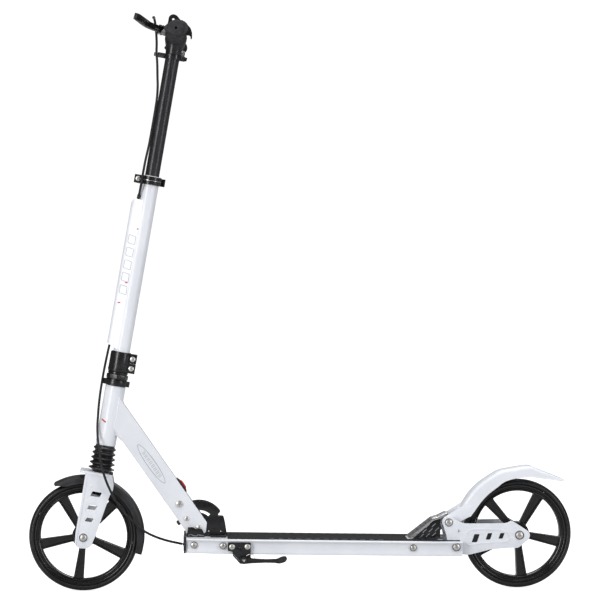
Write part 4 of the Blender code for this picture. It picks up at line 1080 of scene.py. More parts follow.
# ---------------------------------------------------------------- cable
CABLE_TOP = [(-0.0440, -0.0960, 0.9465), (-0.0440, -0.0780, 0.9480), (-0.0415, -0.0560, 0.9430),
             (-0.0372, -0.0300, 0.9290), (-0.0330, -0.0110, 0.9100), (-0.0304, -0.0020, 0.8930),
             (-0.0258, -0.0010, 0.8740), (-0.0212, -0.0030, 0.8500), (-0.0174, -0.0052, 0.8300),
             (-0.0151, -0.0067, 0.8050), (-0.0147, -0.0076, 0.7650), (-0.0150, -0.0095, 0.7250),
             (-0.0165, -0.0140, 0.6950), (-0.0168, -0.0184, 0.6650), (-0.0168, -0.0170, 0.6480),
             (-0.0172, -0.0100, 0.6330), (-0.0178, -0.0040, 0.6248)]
CABLE_LOOP = [(-0.0240, 0.0, 0.3520), (-0.0248, 0.0, 0.3370), (-0.0255, 0.0, 0.3180),
              (-0.0259, 0.0, 0.3000),
              (-0.0259, 0.0, 0.2850), (-0.0258, 0.0, 0.2787), (-0.0256, 0.0, 0.2635),
              (-0.0249, 0.0, 0.2487),
              (-0.0238, -0.0020, 0.2341), (-0.0222, -0.0060, 0.2196), (-0.0205, -0.0120, 0.2050),
              (-0.0178, -0.0200, 0.1910), (-0.0140, -0.0290, 0.1770), (-0.0092, -0.0360, 0.1640),
              (-0.0030, -0.0410, 0.1430), (0.0050, -0.0440, 0.1244), (0.0172, -0.0440, 0.1026),
              (0.0362, -0.0390, 0.0759), (0.0571, -0.0340, 0.0551), (0.0769, -0.0305, 0.0418),
              (0.0966, -0.0275, 0.0293), (0.1194, -0.0190, 0.0213), (0.1425, -0.0080, 0.0166),
              (0.1640, -0.0005, 0.0146), (0.1697, 0.0, 0.0142)]
CABLE_DECK = [(-0.2175, 0.0, -0.0160), (-0.2100, 0.0, -0.0163), (-0.2010, 0.0, -0.0170),
              (-0.1900, 0.0, -0.0179),
              (-0.1500, 0.0, -0.0185), (0.0, 0.0, -0.0185), (0.1500, 0.0, -0.0185), (0.2400, 0.0, -0.0185)]


def cable():
    """Brake cable in stretches, split where it passes a joint."""
    top = smooth_route(CABLE_TOP, 0.004)
    upper = piece("cable_upper_detail", [(hose(top, CABLE_R), RUBBER)], None, STEER, ["cable_upper"],
                  angle=60)
    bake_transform(upper)
    loop = smooth_route(CABLE_LOOP, 0.003)
    head = [p for p in loop if p.z > 0.2848]
    middle = [p for p in loop if 0.2230 < p.z <= 0.2905]
    tail = [p for p in loop if p.z <= 0.2262]
    piece("cable_column_detail", [(hose(head, CABLE_R), RUBBER)], "steerer", STEER, ["cable_loop"],
          angle=60)
    turn = piece("cable_turn_detail", [(hose(middle, CABLE_R), RUBBER)], None, STEER, ["cable_loop"],
                 angle=60)
    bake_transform(turn)
    low = piece("cable_low_detail", [(hose(tail, CABLE_R), RUBBER)], None, STEER, ["cable_loop"],
                angle=60)
    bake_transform(low)
    under = smooth_route(CABLE_DECK, 0.006)
    piece("cable_deck_detail", [(hose(under, CABLE_R, 12), RUBBER)], "deck", DECK, ["cable_deck"],
          angle=60)
    ferrules = []
    for route, index in ((top, 0), (top, -1)):
        here = route[index]
        ahead = route[1] if index == 0 else route[-2]
        along = (ahead - here).normalized()
        sleeve = hose([here, here + along * 0.004, here + along * 0.008], 0.0030, 20)
        ferrules.append((sleeve, SILVER_AND_GLINT if index == 0 else PLASTIC))
    piece("cable_ferrule_lever", [ferrules[0]], "handlebar", STEER, (), angle=45)
    piece("cable_ferrule_column", [ferrules[1]], "steerer", STEER, (), angle=45)


# ---------------------------------------------------------------- front frame
def tube_point(along, across):
    """Down tube coordinates to X, Z about the fold pivot."""
    c, s = math.cos(DOWN_TUBE_SLOPE), math.sin(DOWN_TUBE_SLOPE)
    return (-c * along + s * across, s * along + c * across)


STEER_FROM_PIVOT = PIVOT.inverted() @ STEER


def front_frame():
    high, low = TUBE_ABOVE, -TUBE_BELOW
    side = [tube_point(a, b) for a, b in ((0.2534, low), (0.2932, high), (-0.0006, high), (-0.0140, 0.0055),
                                          (-0.0140, -0.0050), (-0.0100, -0.0120), (0.0, low))]
    room = [tube_point(a, b) for a, b in ((0.235, low + TUBE_WALL), (0.235, high - TUBE_WALL),
                                          (-0.05, high - TUBE_WALL), (-0.05, low + TUBE_WALL))]
    slot = [tube_point(a, b) for a, b in ((0.062, low - 0.01), (0.062, high + 0.01), (-0.05, high + 0.01),
                                          (-0.05, low - 0.01))]
    window = [tube_point(a, b) for a,
              b in ((0.070, high - 0.01), (0.070, high + 0.01), (0.091, high + 0.01),
                                            (0.091, high - 0.01))]
    inner = TUBE_HALF_Y - TUBE_WALL
    solid = bevelled(plate(side, -TUBE_HALF_Y, TUBE_HALF_Y), 0.0034, 4, 20)
    outer = turned([(HEAD_R - 0.0010, HEAD_LOW_S), (HEAD_R, HEAD_LOW_S + 0.0010),
                    (HEAD_R, HEAD_TOP_S - 0.0010),
                    (HEAD_R - 0.0010, HEAD_TOP_S)], 96)
    head = turned_by(outer, STEER_FROM_PIVOT)
    bore = turned_by(turned([(0.016, 0.1), (0.016, 0.33)], 64), STEER_FROM_PIVOT)
    gusset = [tube_point(a, b) for a,
              b in ((0.200, low + 0.002), (0.245, low + 0.002), (0.245, low - 0.006),
                                            (0.222, low - 0.0035))]
    web = bevelled(plate(rounded(gusset, 0.002), -0.012, 0.012), 0.0010)
    cuts = [plate(room, -inner, inner), plate(slot, -inner, inner), plate(window, -0.0075, 0.0075), bore]
    whole = combined(combined(head, "UNION", [solid, web]), "DIFFERENCE", cuts)
    piece("main_frame_detail", [(whole, WHITE)], "front_frame", PIVOT, ["main_frame"],
          angle=34)
    weld = turned_by(weld_bead(), STEER_FROM_PIVOT)
    piece("frame_weld", [(weld, WHITE)], "front_frame", PIVOT, (), angle=60)
    pins = (("fold_pivot_bolt", (0, 0), 0.0040, 0.0050), ("guide_pin", (-0.0225, 0.0167), 0.0030, 0.0045),
            ("pawl_bolt", (-0.0357, 0.0434), 0.0030, 0.0064))
    for name, (x, z), radius, head_r in pins:
        cross_bolt(name + "_detail", head_r, radius, TUBE_HALF_Y + 0.0003, 0.0032, (x, 0, z), "front_frame",
                   [name], PIVOT)
    for name, height in (("headset_bearing_low", HEAD_LOW_S + 0.001), ("headset_bearing_high", 0.2715)):
        race = turned([(BORE_R, height), (0.0155, height), (0.0157, height + 0.0003),
                       (0.0157, height + 0.0072),
                       (0.0155, height + 0.0075), (BORE_R, height + 0.0075)], 48, "Z", True)
        piece(name + "_detail", [(race, STEEL)], "front_frame", STEER, [name])
    frame_print()
    release()


def weld_bead():
    """Rounded bead where the down tube meets the head tube, in the steering frame."""
    to_steer = STEER_FROM_PIVOT.inverted()
    route = []
    high, low = TUBE_ABOVE, -TUBE_BELOW
    half = TUBE_HALF_Y - 0.0012
    path = [(half * k / 6,
             high) for k in range(-6, 7)] + [(half, high - (high - low) * k / 10) for k in range(1, 10)]
    path += [(-half * k / 6, low) for k in range(-6, 7)]
    path += [(-half, low + (high - low) * k / 10) for k in range(1, 10)]
    for y, across in path:
        along = 0.15
        for _ in range(60):
            x, z = tube_point(along, across)
            p = to_steer @ Vector((x, y, z))
            gap = math.hypot(p.x, p.y) - HEAD_R
            along += max(-0.004, min(0.004, gap * 0.9))
        x, z = tube_point(along, across)
        route.append(to_steer @ Vector((x, y, z)))
    route.append(route[0].copy())
    return hose(route, 0.0017, 12)


def subdivided_along(bm):
    """Splits the long edges so that a flat print can follow a round side."""
    bmesh.ops.triangulate(bm, faces=bm.faces)
    edges = [e for e in bm.edges if e.calc_length() > 0.0012]
    bmesh.ops.subdivide_edges(bm, edges=edges, cuts=4)
    return bm


def frame_print():
    """Generic outlined oval with bars on the down tube, and a red dash on the head tube."""
    parts = []
    for side in (-1, 1):
        oval = [(0.1456 + 0.0430 * math.cos(a), -0.0040 + 0.0080 * math.sin(a))
                for a in [2 * math.pi * k / 64 for k in range(64)]]
        outer = [tube_point(a, b) for a, b in oval]
        hole = [tube_point(0.1456 + (a - 0.1456) * 0.978, -0.0040 + (b + 0.0040) * 0.88) for a, b in oval]
        low, high = sorted((side * (TUBE_HALF_Y - 0.0002), side * (TUBE_HALF_Y + 0.0002)))
        parts.append((plate(outer, low, high, [hole]), PRINT_GREY))
        for k in range(8):
            at = 0.1170 + 0.0072 * k
            for near, far in ((0.0, 0.0007), (0.0030, 0.0037)):
                bar = [tube_point(a, b) for a, b in ((at + near, -0.0075), (at + far, -0.0075),
                                                     (at + far + 0.0006, -0.0005),
                                                     (at + near + 0.0006, -0.0005))]
                parts.append((plate(bar, low, high), PRINT_GREY))
    piece("frame_print", parts, "front_frame", PIVOT, (), angle=30)
    dash = plate(rounded([(-0.0147, 0.2148), (-0.0060, 0.2106), (-0.0060, 0.2136), (-0.0147, 0.2178)],
                         0.0006),
                 -0.0002, 0.00022)
    dash = subdivided_along(dash)
    for v in dash.verts:
        out = HEAD_R + 0.00008 + v.co.y
        v.co.y = -math.sqrt(out * out - v.co.x ** 2)
    piece("head_print", [(dash, PRINT_RED)], "front_frame", STEER, (), angle=30)


def release():
    """Red release button in its bezel, and the pawl it lifts."""
    high = TUBE_ABOVE + 0.0003
    rim = [(high - 0.0002, 0.0650), (high - 0.0002, 0.0970), (high + 0.0022, 0.0950),
           (high + 0.0022, 0.0670)]
    bezel = combined(bevelled(plate(rim, -0.0120, 0.0120), 0.0009, 3), "DIFFERENCE",
                     [box((0.01, 0.03), (-0.0073, 0.0073), (0.0702, 0.0908))])
    lip = frame_of((0.0702, 0.0908), 0.0073, 0.0012)
    collar = plate(lip[0], high + 0.0010, high + 0.0030, [lip[1]], "X")
    piece("release_bezel_detail", [(bezel, PLASTIC), (collar, PLASTIC)], "front_frame", BUTTON_FACE,
          ["release_bezel"], angle=32)
    crown = [(high - 0.0080, 0.0708), (high + 0.0038, 0.0708), (high + 0.0055, 0.0735),
             (high + 0.0058, 0.0805),
             (high + 0.0055, 0.0875), (high + 0.0038, 0.0902), (high - 0.0080, 0.0902)]
    piece("release_button_detail", [(bevelled(plate(crown, -0.0068, 0.0068), 0.0012, 3, 20), RED)],
          "release_button", BUTTON_FACE, ["release_button"], angle=32)
    outline = arc((0, 0), 0.0058, 20, 250, 24) + [(0.0060, -0.0020), (0.0165, 0.0022), (0.0165, 0.0060)]
    pawl = bevelled(plate(outline, -0.0125, 0.0125, [circle(0.0033, 24)]), 0.0006)
    piece("lock_pawl_detail", [(pawl, DARK_STEEL)], "lock_pawl", PIVOT @ moved(-0.0357, 0, 0.0434),
          ["lock_pawl"], angle=32)
    knob = turned([(0.0042, 0.0), (0.0046, -0.0012), (0.0046, -0.0040), (0.0036, -0.0056), (0.0, -0.0060)],
                  32, "X")
    x, z = tube_point(0.0275, -TUBE_BELOW)
    knob.transform(tilted(DOWN_TUBE_SLOPE - math.pi / 2))
    piece("frame_stop_knob", [(shifted(knob, x, 0, z), PLASTIC)], "front_frame", PIVOT, ())


def frame_of(span, half, width):
    """Rectangle about a slot, in Y and Z, and its hole."""
    z0, z1 = span
    hole = [(-half, z0), (half, z0), (half, z1), (-half, z1)]
    return rounded(inset(hole, -width), 0.001, 3), hole


# ---------------------------------------------------------------- deck
def deck_half(x):
    """Half width of the deck, drawn in towards both ends."""
    front = max(0.0, (-0.120 - x) / 0.093)
    rear = max(0.0, (x - 0.215) / 0.077)
    return DECK_HALF - 0.013 * front ** 2 - 0.007 * rear ** 2


def deck_side(x):
    """Where a cross bolt's head sits on the deck's side."""
    return max(deck_half(x - 0.006), deck_half(x + 0.006)) - 0.0020


# half of the deck's profile: distance in from the side, and height below the top
DECK_OUTSIDE = [(0.0050, 0.0), (0.0012, 0.0), (0.0004, -0.0003), (0.0, -0.0010), (0.0, -0.0022),
                (0.0005, -0.0030), (0.0018, -0.0044), (0.0030, -0.0060), (0.0038, -0.0085),
                (0.0043, -0.0115), (0.0044, -0.0150), (0.0041, -0.0190), (0.0036, -0.0225),
                (0.0034, -0.0250), (0.0039, -0.0262), (0.0052, -DECK_THICK)]
DECK_INSIDE = [(0.0085, -0.0030), (0.0080, -0.0031), (0.0077, -0.0034), (0.0074, -0.0040),
               (0.0074, -0.0050), (0.0074, -0.0060), (0.0074, -0.0070), (0.0074, -0.0080),
               (0.0074, -0.0100), (0.0074, -0.0130), (0.0074, -0.0160), (0.0074, -0.0190),
               (0.0075, -0.0210), (0.0076, -0.0225), (0.0078, -0.0232), (0.0084, 0.0030 - DECK_THICK)]


def deck_section(x, outer):
    half = deck_half(x)
    side = [(half - inward, z) for inward, z in (DECK_OUTSIDE if outer else DECK_INSIDE)]
    return [(x, y, z) for y, z in side] + [(x, -y, z) for y, z in reversed(side)]


def deck():
    """Extruded deck with a thin bright lip over hollow sides, bolts, end cap and grip tape."""
    stations = [DECK_FRONT + 0.093 * k / 10 for k in range(11)] + [-0.06 + 0.055 * k for k in range(5)]
    stations += [0.215 + 0.077 * k / 9 for k in range(10)]
    outer = [deck_section(x, True) for x in stations]
    inner = [deck_section(x, False) for x in reversed(stations)]
    notch = plate(rounded([(0.2585, -0.0385), (0.31, -0.0385), (0.31, 0.0385), (0.2585, 0.0385)], 0.004),
                  -0.05,
                  0.02, axis="Z")
    body = combined(loft(outer + inner, True), "DIFFERENCE", [notch])
    shelves = []
    for y in (-0.030, -0.010, 0.010, 0.030):
        shelves.append((box((DECK_FRONT + 0.002, 0.2560), (y - 0.0008, y + 0.0008), (-0.0240, -0.0026)),
                        WHITE))
    piece("deck_frame_detail", [(body, WHITE)] + shelves, "deck", DECK, ["deck_frame"],
          angle=28)
    for name, x in (("deck_bolt_front", -0.1975), ("deck_bolt_middle", -0.145), ("deck_bolt_rear", 0.2007)):
        cross_bolt(name + "_detail", 0.0052, 0.0028, deck_side(x), 0.0032, (x, 0, CROSS_BOLT_Z), "deck",
                   [name],
                   DECK, 0.0061)
    cross_bolt("swing_arm_bolt_detail", 0.0060, 0.0040, deck_side(SWING_PIVOT[0]), 0.0032, SWING_PIVOT,
               "deck",
               ["swing_arm_bolt"], WORLD, 0.0074)
    half = deck_half(DECK_FRONT)
    cap = [(-half, -0.0275), (half, -0.0275), (half + 0.001, 0.0035), (-half - 0.001, 0.0035)]
    hole = circle(CABLE_R + 0.0005, 28, (0, -0.0160))
    cover = bevelled(plate(rounded(cap, 0.0050, 5), DECK_FRONT - 0.0038, DECK_FRONT - 0.0003, [hole], "X"),
                     0.0010,
                     3)
    panel = [rounded([(y - 0.0150, -0.0235), (y + 0.0150, -0.0235), (y + 0.0150, -0.0045),
                      (y - 0.0150, -0.0045)],
                     0.003) for y in (-0.0300, 0.0300)]
    ribs = [(bevelled(plate(p, DECK_FRONT - 0.0045, DECK_FRONT - 0.0030, [inset(p, 0.0016)], "X"), 0.0003),
             PLASTIC)
            for p in panel]
    piece("deck_front_cap_detail", [(cover, PLASTIC)] + ribs, "deck", DECK, ["deck_front_cap"],
          angle=32)
    outline = [(-0.1365, -0.050), (0.2500, -0.050), (0.2880, -0.046), (0.2880, -0.0395), (0.2480, -0.0395),
               (0.2480, -0.0300), (0.1930, -0.0300), (0.1930, 0.0300), (0.2480, 0.0300), (0.2480, 0.0395),
               (0.2880, 0.0395), (0.2880, 0.046), (0.2500, 0.050), (-0.1365, 0.050)]
    tape = bevelled(plate(rounded(outline, 0.0025, 3), 0.0001, 0.0012, axis="Z"), 0.0003, 2)
    dashes = []
    for side in (-1, 1):
        for k in range(13):
            x = -0.060 + 0.0165 * k
            mark = [(x, side * 0.0445), (x + 0.0085, side * 0.0445), (x + 0.0085, side * 0.0462),
                    (x, side * 0.0462)]
            dashes.append((plate(mark, 0.0008, 0.00135, axis="Z"), PRINT_GREY))
    piece("grip_tape_detail", [(tape, GRIT)] + dashes, "deck", DECK, ["grip_tape"], angle=32)


def polar(radius_mm, degrees):
    angle = math.radians(degrees)
    return (radius_mm * 0.001 * math.cos(angle), radius_mm * 0.001 * math.sin(angle))


def zigzag(points, width):
    """Outline of a thin line through the points."""
    return list(points) + [(x, z - width) for x, z in reversed(points)]


def fold_hardware():
    """Quadrant with lock notches, its embossed triangle and rivets, and the cheeks beside the tube's foot."""
    floor = -0.0158
    lock = [(44.5, 116), (43.0, 112), (44.5, 108)]
    second = [(0.0352, 0.0246), (0.0352, 0.0194), (0.0404, 0.0194), (0.0450, 0.0188)]
    rim = [polar(48.5, a) for a in range(104, 32, -4)]
    outline = [polar(48.5, 122)] + [polar(*p) for p in lock] + rim + second
    outline += [(0.0480, 0.0073), (0.0514, floor), (-0.0140, floor), (-0.0300, 0.0060)]
    outline = rounded(outline, 0.0012, 3)
    slot = ([polar(31.4, a) for a in range(150, 42, -4)] + [polar(24.6, a) for a in range(46, 151, 4)])
    holes = [slot, circle(0.0043, 32)]
    parts = []
    for side in (-1, 1):
        low, high = sorted((side * 0.0120, side * 0.0085))
        parts.append((bevelled(plate(outline, low, high, holes), 0.0006, 3), BLACK))
        triangle = rounded([(0.0140, -0.0050), (0.0425, -0.0050), (0.0295, 0.0150)], 0.0050, 6)
        low, high = sorted((side * 0.0118, side * 0.0128))
        parts.append((bevelled(plate(triangle, low, high, [inset(triangle, 0.0022)]), 0.0005, 3), BLACK))
        for x, z in ((0.0178, -0.0071), (0.0398, -0.0073)):
            rivet = bolt_head(0.0014, 0.0012, recess=False)
            flip = Matrix.Rotation(math.pi if side < 0 else 0, 4, "Z")
            parts.append((turned_by(shifted(rivet, side * x, 0.0118, z), flip), STEEL))
    sill = bevelled(box((0.0200, 0.0500), (-0.0300, 0.0300), (floor, floor + 0.0030)), 0.0008)
    parts.append((sill, BLACK))
    piece("fold_quadrant_detail", parts, "deck", PIVOT, ["fold_quadrant"], angle=32)
    cheek = rounded([(-0.0224, floor), (-0.0216, -0.0080), (-0.0200, 0.0018), (-0.0105, 0.0018),
                     (-0.0060, -0.0014), (0.0052, -0.0014), (0.0082, -0.0074), (0.0105, floor)], 0.0014)
    walls = []
    for side in (-1, 1):
        low, high = sorted((side * 0.0224, side * 0.0260))
        walls.append((bevelled(plate(cheek, low, high), 0.0007), BLACK))
        # painted reflection: a thin bright zigzag along the foot of the black cheek
        edge = zigzag(((-0.0200, -0.0123), (-0.0157, -0.0106), (-0.0111, -0.0124), (-0.0054, -0.0137),
                       (-0.0020, -0.0111), (0.0025, -0.0124), (0.0080, -0.0128)), 0.0009)
        low, high = sorted((side * 0.0258, side * 0.0263))
        walls.append((plate(edge, low, high), SILVER_AND_GLINT))
    front = bevelled(box((-0.0226, -0.0206), (-0.0250, 0.0250), (floor, -0.0125)), 0.0006)
    piece("fold_base_detail", walls + [(front, BLACK)], "deck", PIVOT, ["fold_base"],
          angle=32)


# ---------------------------------------------------------------- kickstand
def kickstand():
    x, y, z = KICK_PIVOT
    outline = rounded([(-0.1365, 0.0935), (-0.0950, 0.0930), (-0.0950, 0.0560), (-0.1130, 0.0545),
                       (-0.1280, 0.0715), (-0.1280, 0.0775), (-0.1365, 0.0780)], 0.0022)
    near = -DECK_HALF - 0.0003
    hole = circle(0.0033, 28, (x, z))
    body = bevelled(plate(outline, near - 0.003, near, [hole, circle(0.0013, 16, (-0.1155, 0.0850))]),
                    0.0006)
    stop = bevelled(plate([(-0.1268, 0.0700), (-0.1130, 0.0545), (-0.1107, 0.0566), (-0.1237, 0.0702)],
                          near - 0.0025, near + 0.020), 0.0004)
    edge = plate([(-0.1280, 0.0700), (-0.1142, 0.0546), (-0.1124, 0.0560), (-0.1262, 0.0712)],
                 near - 0.0036,
                 near - 0.0026)
    # painted highlight: a thin bright strip along the slanted stop's edge
    groove = plate([(-0.1268, 0.0712), (-0.1122, 0.0552), (-0.1114, 0.0560), (-0.1260, 0.0720)],
                   near - 0.0034,
                   near - 0.0028)
    parts = [(body, BLACK), (stop, BLACK), (edge, BLACK), (groove, SILVER_AND_GLINT)]
    flip = Matrix.Rotation(math.pi, 4, "Z")
    for bolt_x in (-0.1290, -0.1010):
        head = turned_by(shifted(bolt_head(0.0052, 0.0030), -bolt_x, -(near - 0.003), 0.0855), flip)
        parts.append((head, STEEL))
    piece("kickstand_bracket_detail", parts, "deck", WORLD, ["kickstand_bracket"], angle=32)
    leg = [(-0.0085, 0.0045), (-0.0085, -0.0040), (-0.0030, -0.0075), (0.0120, -0.0060), (0.0380, -0.0050),
           (0.0560, -0.0055), (0.0640, -0.0070), (0.0750, -0.0040), (0.0785, 0.0020), (0.0760, 0.0065),
           (0.0690, 0.0060), (0.0600, 0.0015), (0.0400, 0.0010), (0.0150, 0.0025), (0.0040, 0.0070)]
    low = near - 0.003 - 0.0003
    bar = bevelled(plate(rounded(leg, 0.0035, 4), low - 0.0065 - y, low - y, [circle(0.0033, 28)]), 0.0014,
                   3)
    pad = bevelled(plate(rounded([(0.0625, -0.0062), (0.0748, -0.0036), (0.0778, 0.0020), (0.0756, 0.0056),
                                  (0.0695, 0.0052), (0.0620, 0.0005)], 0.0028, 4), low - 0.0074 - y,
                         low + 0.0006 - y), 0.0016, 3)
    piece("kickstand_leg_detail", [(bar, BLACK), (pad, PLASTIC)], "kickstand", moved(*KICK_PIVOT),
          ["kickstand_leg"], angle=32)
    bolt_y = near - 0.003 - 0.0003 - y
    profile = [(0.0, -0.0127), (0.0036, -0.0122), (0.0052, -0.0108), (0.0052, -0.0068), (0.0030, -0.0068),
               (0.0030, 0.0090)]
    stud = turned([(r, t + bolt_y) for r, t in profile], 36, "Y")
    wound = spring(0.0044, 0.0007, -0.0050, 0.0040, 4, 6, 16)
    wound.transform(Matrix.Rotation(math.pi / 2, 4, "X"))
    centre = turned([(0.0022, bolt_y - 0.0120), (0.0020, bolt_y - 0.0131), (0.0, bolt_y - 0.0133)], 24, "Y")
    wire = smooth_route([(0.0040, bolt_y - 0.0070, 0.0080), (0.0110, bolt_y - 0.0085, 0.0110),
                         (0.0170, bolt_y - 0.0080, 0.0085), (0.0200, bolt_y - 0.0076, 0.0030)], 0.002)
    piece("kickstand_bolt_detail", [(stud, BLACK), (centre, STEEL), (shifted(wound, y=0.0075), STEEL),
                                    (hose(wire, 0.0005, 8), STEEL)], "deck", moved(*KICK_PIVOT),
          ["kickstand_bolt"])


# ---------------------------------------------------------------- rear end
REAR_ARM = [(0.2590, 0.1150), (0.2572, 0.1240), (0.2595, 0.1312), (0.2660, 0.1350), (0.2740, 0.1333),
            (0.2840, 0.1268), (0.2960, 0.1218), (0.3276, 0.1216), (0.3740, 0.1220), (0.3835, 0.1268),
            (0.3994, 0.1170), (0.4153, 0.1064), (0.4178, 0.1000), (0.4150, 0.0917), (0.4060, 0.0854),
            (0.3963, 0.0768), (0.3804, 0.0766), (0.3445, 0.0743), (0.3234, 0.0690), (0.3040, 0.0645),
            (0.2940, 0.0650), (0.2720, 0.0740), (0.2650, 0.0860), (0.2640, 0.1000)]
ARM_INNER = 0.033
ARM_OUTER = 0.036


def rear_arm():
    axle = (WHEELBASE / 2, 0, WHEEL_R)
    windows = [rounded(slanted(at, w, h, k), 0.0016) for at, w, h, k in
               (((0.3175, 0.0948), 0.0100, 0.0150, 0.005), ((0.3420, 0.0980), 0.0085, 0.0120, 0.004),
                ((0.3650, 0.0988), 0.0080, 0.0105, 0.004))]
    holes = windows + [circle(0.0044, 28, (axle[0], axle[2]))]
    outline = rounded(REAR_ARM, 0.0040, 5)
    panel = rounded([(0.3020, 0.0810), (0.3300, 0.0850), (0.3745, 0.0868), (0.3830, 0.0940),
                     (0.3780, 0.1040),
                     (0.3640, 0.1110), (0.3100, 0.1120), (0.3000, 0.1060), (0.2985, 0.0900)], 0.0060, 5)
    parts = []
    for side in (-1, 1):
        low, high = sorted((side * ARM_INNER, side * ARM_OUTER))
        parts.append((bevelled(plate(outline, low, high, holes), 0.0007, 3), PLATE_WHITE))
        low, high = sorted((side * (ARM_OUTER - 0.0006), side * (ARM_OUTER + 0.0007)))
        parts.append((bevelled(plate(panel, low, high, [inset(panel, 0.0016)]), 0.00045, 3), PLATE_WHITE))
        for (x, z), radius in (((axle[0], axle[2]), 0.0100), ((EYE[0], EYE[2]), 0.0085)):
            pad = circle(radius, 56, (x, z))
            hole = circle(0.0044, 28, (x, z))
            low, high = sorted((side * (ARM_OUTER - 0.0010), side * (ARM_OUTER + 0.00025)))
            parts.append((plate(pad, low, high, [hole]), PLATE_WHITE))
        # painted shade: dark sheets close the windows inside the plate, standing for the shade in the
        # openings
        low, high = sorted((side * (ARM_INNER + 0.0002), side * (ARM_INNER + 0.0008)))
        parts += [(plate(w, low, high), BUSH_AND_SHADE) for w in windows]
    parts.append((bevelled(plate([(0.2660, 0.1010), (0.2945, 0.0960), (0.2945, 0.1000), (0.2660, 0.1050)],
                                 -0.0345,
                                 0.0345), 0.0006), WHITE))
    for at in (SWING_PIVOT, EYE):
        parts.append((shifted(tube(0.0043, 0.0075, -0.0345, 0.0345, 40, "Y"), *at), WHITE))
    piece("rear_arm_detail", parts, "rear_arm", WORLD, ["rear_arm"], angle=30)
    cross_bolt("rear_axle_detail", 0.0066, 0.0040, ARM_OUTER + 0.0003, 0.0040, axle, "rear_arm",
               ["rear_axle"],
               WORLD, 0.0082)
    cross_bolt("eye_bolt_detail", 0.0062, 0.0040, ARM_OUTER + 0.0003, 0.0034, EYE, "rear_arm", ["eye_bolt"],
               WORLD, 0.0074)
    small = []
    for side in (-1, 1):
        flip = Matrix.Rotation(math.pi if side < 0 else 0, 4, "Z")
        small.append((turned_by(shifted(bolt_head(0.0026, 0.0015), side * 0.2865, ARM_OUTER - 0.0001,
                                        0.1085), flip),
                      STEEL))
    piece("arm_screws", small, "rear_arm", WORLD, (), angle=30)


REAR_FENDER = [((0.2885, 0.1400), (0.3085, 0.1330)), ((0.2975, 0.1560), (0.3175, 0.1450)),
               ((0.3100, 0.1745), (0.3275, 0.1590)), ((0.3265, 0.1915), (0.3410, 0.1735)),
               ((0.3485, 0.2065), (0.3585, 0.1870)), ((0.3660, 0.2160), (0.3730, 0.1975)),
               ((0.3920, 0.2210), (0.3940, 0.2035)), ((0.4195, 0.2245), (0.4150, 0.2055)),
               ((0.4346, 0.2190), (0.4290, 0.2050)), ((0.4560, 0.2105), (0.4500, 0.2020)),
               ((0.4750, 0.2028), (0.4680, 0.1995)), ((0.4850, 0.1985), (0.4800, 0.1975))]


def rear_fender():
    """Channel mudguard and foot brake with rounded shoulders and a splash tail."""
    half, skin = 0.0245, 0.0020
    tops = smooth_route([(x, 0, z) for (x, z), _ in REAR_FENDER], 0.0045)
    lows = smooth_route([(x, 0, z) for _, (x, z) in REAR_FENDER], 0.0045)
    count = 56
    sections = []
    for i in range(count + 1):
        t = i / count
        top, low = along_route(tops, t), along_route(lows, t)
        depth = (low - top).length
        down = (low - top).normalized()
        corner = min(0.0060, depth * 0.45)
        width = half + 0.0006 * math.sin(math.pi * t)
        bend = [math.radians(k) for k in (0, 18, 36, 54, 72, 90)]
        outer = [(width + 0.0003, depth), (width, depth * 0.75)]
        outer += [(width - corner * (1 - math.cos(a)), corner * (1 - math.sin(a))) for a in bend]
        outer = outer + [(-y, d) for y, d in reversed(outer)]
        wall = min(skin, depth * 0.4)
        inner = []
        for y, d in reversed(outer):
            inner.append((max(-(width - wall), min(width - wall, y * (width - wall) / width)),
                          min(depth, d + wall) if d < depth * 0.99 else depth))
        points = outer + inner
        sections.append([(top.x + down.x * d - EYE[0], y, top.z + down.z * d - EYE[2]) for y, d in points])
    shell = loft(sections)
    ear = rounded(arc((0, 0), 0.0110, 110, 330, 24) + [(0.0420, 0.0100), (0.0520, 0.0270),
                                                       (0.0330, 0.0330)], 0.004)
    parts = [(shell, WHITE)]
    for side in (-1, 1):
        low, high = sorted((side * 0.0233, side * 0.0247))
        parts.append((bevelled(plate(ear, low, high, [circle(0.0078, 36)]), 0.0004), WHITE))
    rim = []
    for i in range(count + 1):
        low = along_route(lows, i / count)
        rim.append(Vector((low.x - EYE[0], 0, low.z - EYE[2])))
    for side in (-1, 1):
        parts.append((hose([p + Vector((0, side * (half + 0.0002), 0)) for p in rim], 0.0009, 10), WHITE))
    piece("rear_fender_detail", parts, "rear_fender", moved(*EYE), ["rear_fender"], angle=40)
    pad = []
    for k in range(13):
        angle = math.radians(96 + 46 * k / 12)
        pad.append([(r * math.cos(angle), y, r * math.sin(angle)) for r, y in
                    ((0.1012, -0.0090), (0.1075, -0.0100), (0.1075, 0.0100), (0.1012, 0.0090))])
    piece("brake_pad", [(bevelled(loft(pad), 0.0008, 2), RUBBER)], "rear_fender", REAR_AXLE, (),
          angle=40)


def along_route(route, t):
    """Point at share t of the route's length."""
    lengths = [(b - a).length for a, b in zip(route, route[1:])]
    left = t * sum(lengths)
    for (a, b), length in zip(zip(route, route[1:]), lengths):
        if left <= length + 1e-9:
            return a.lerp(b, left / length)
        left -= length
    return route[-1].copy()


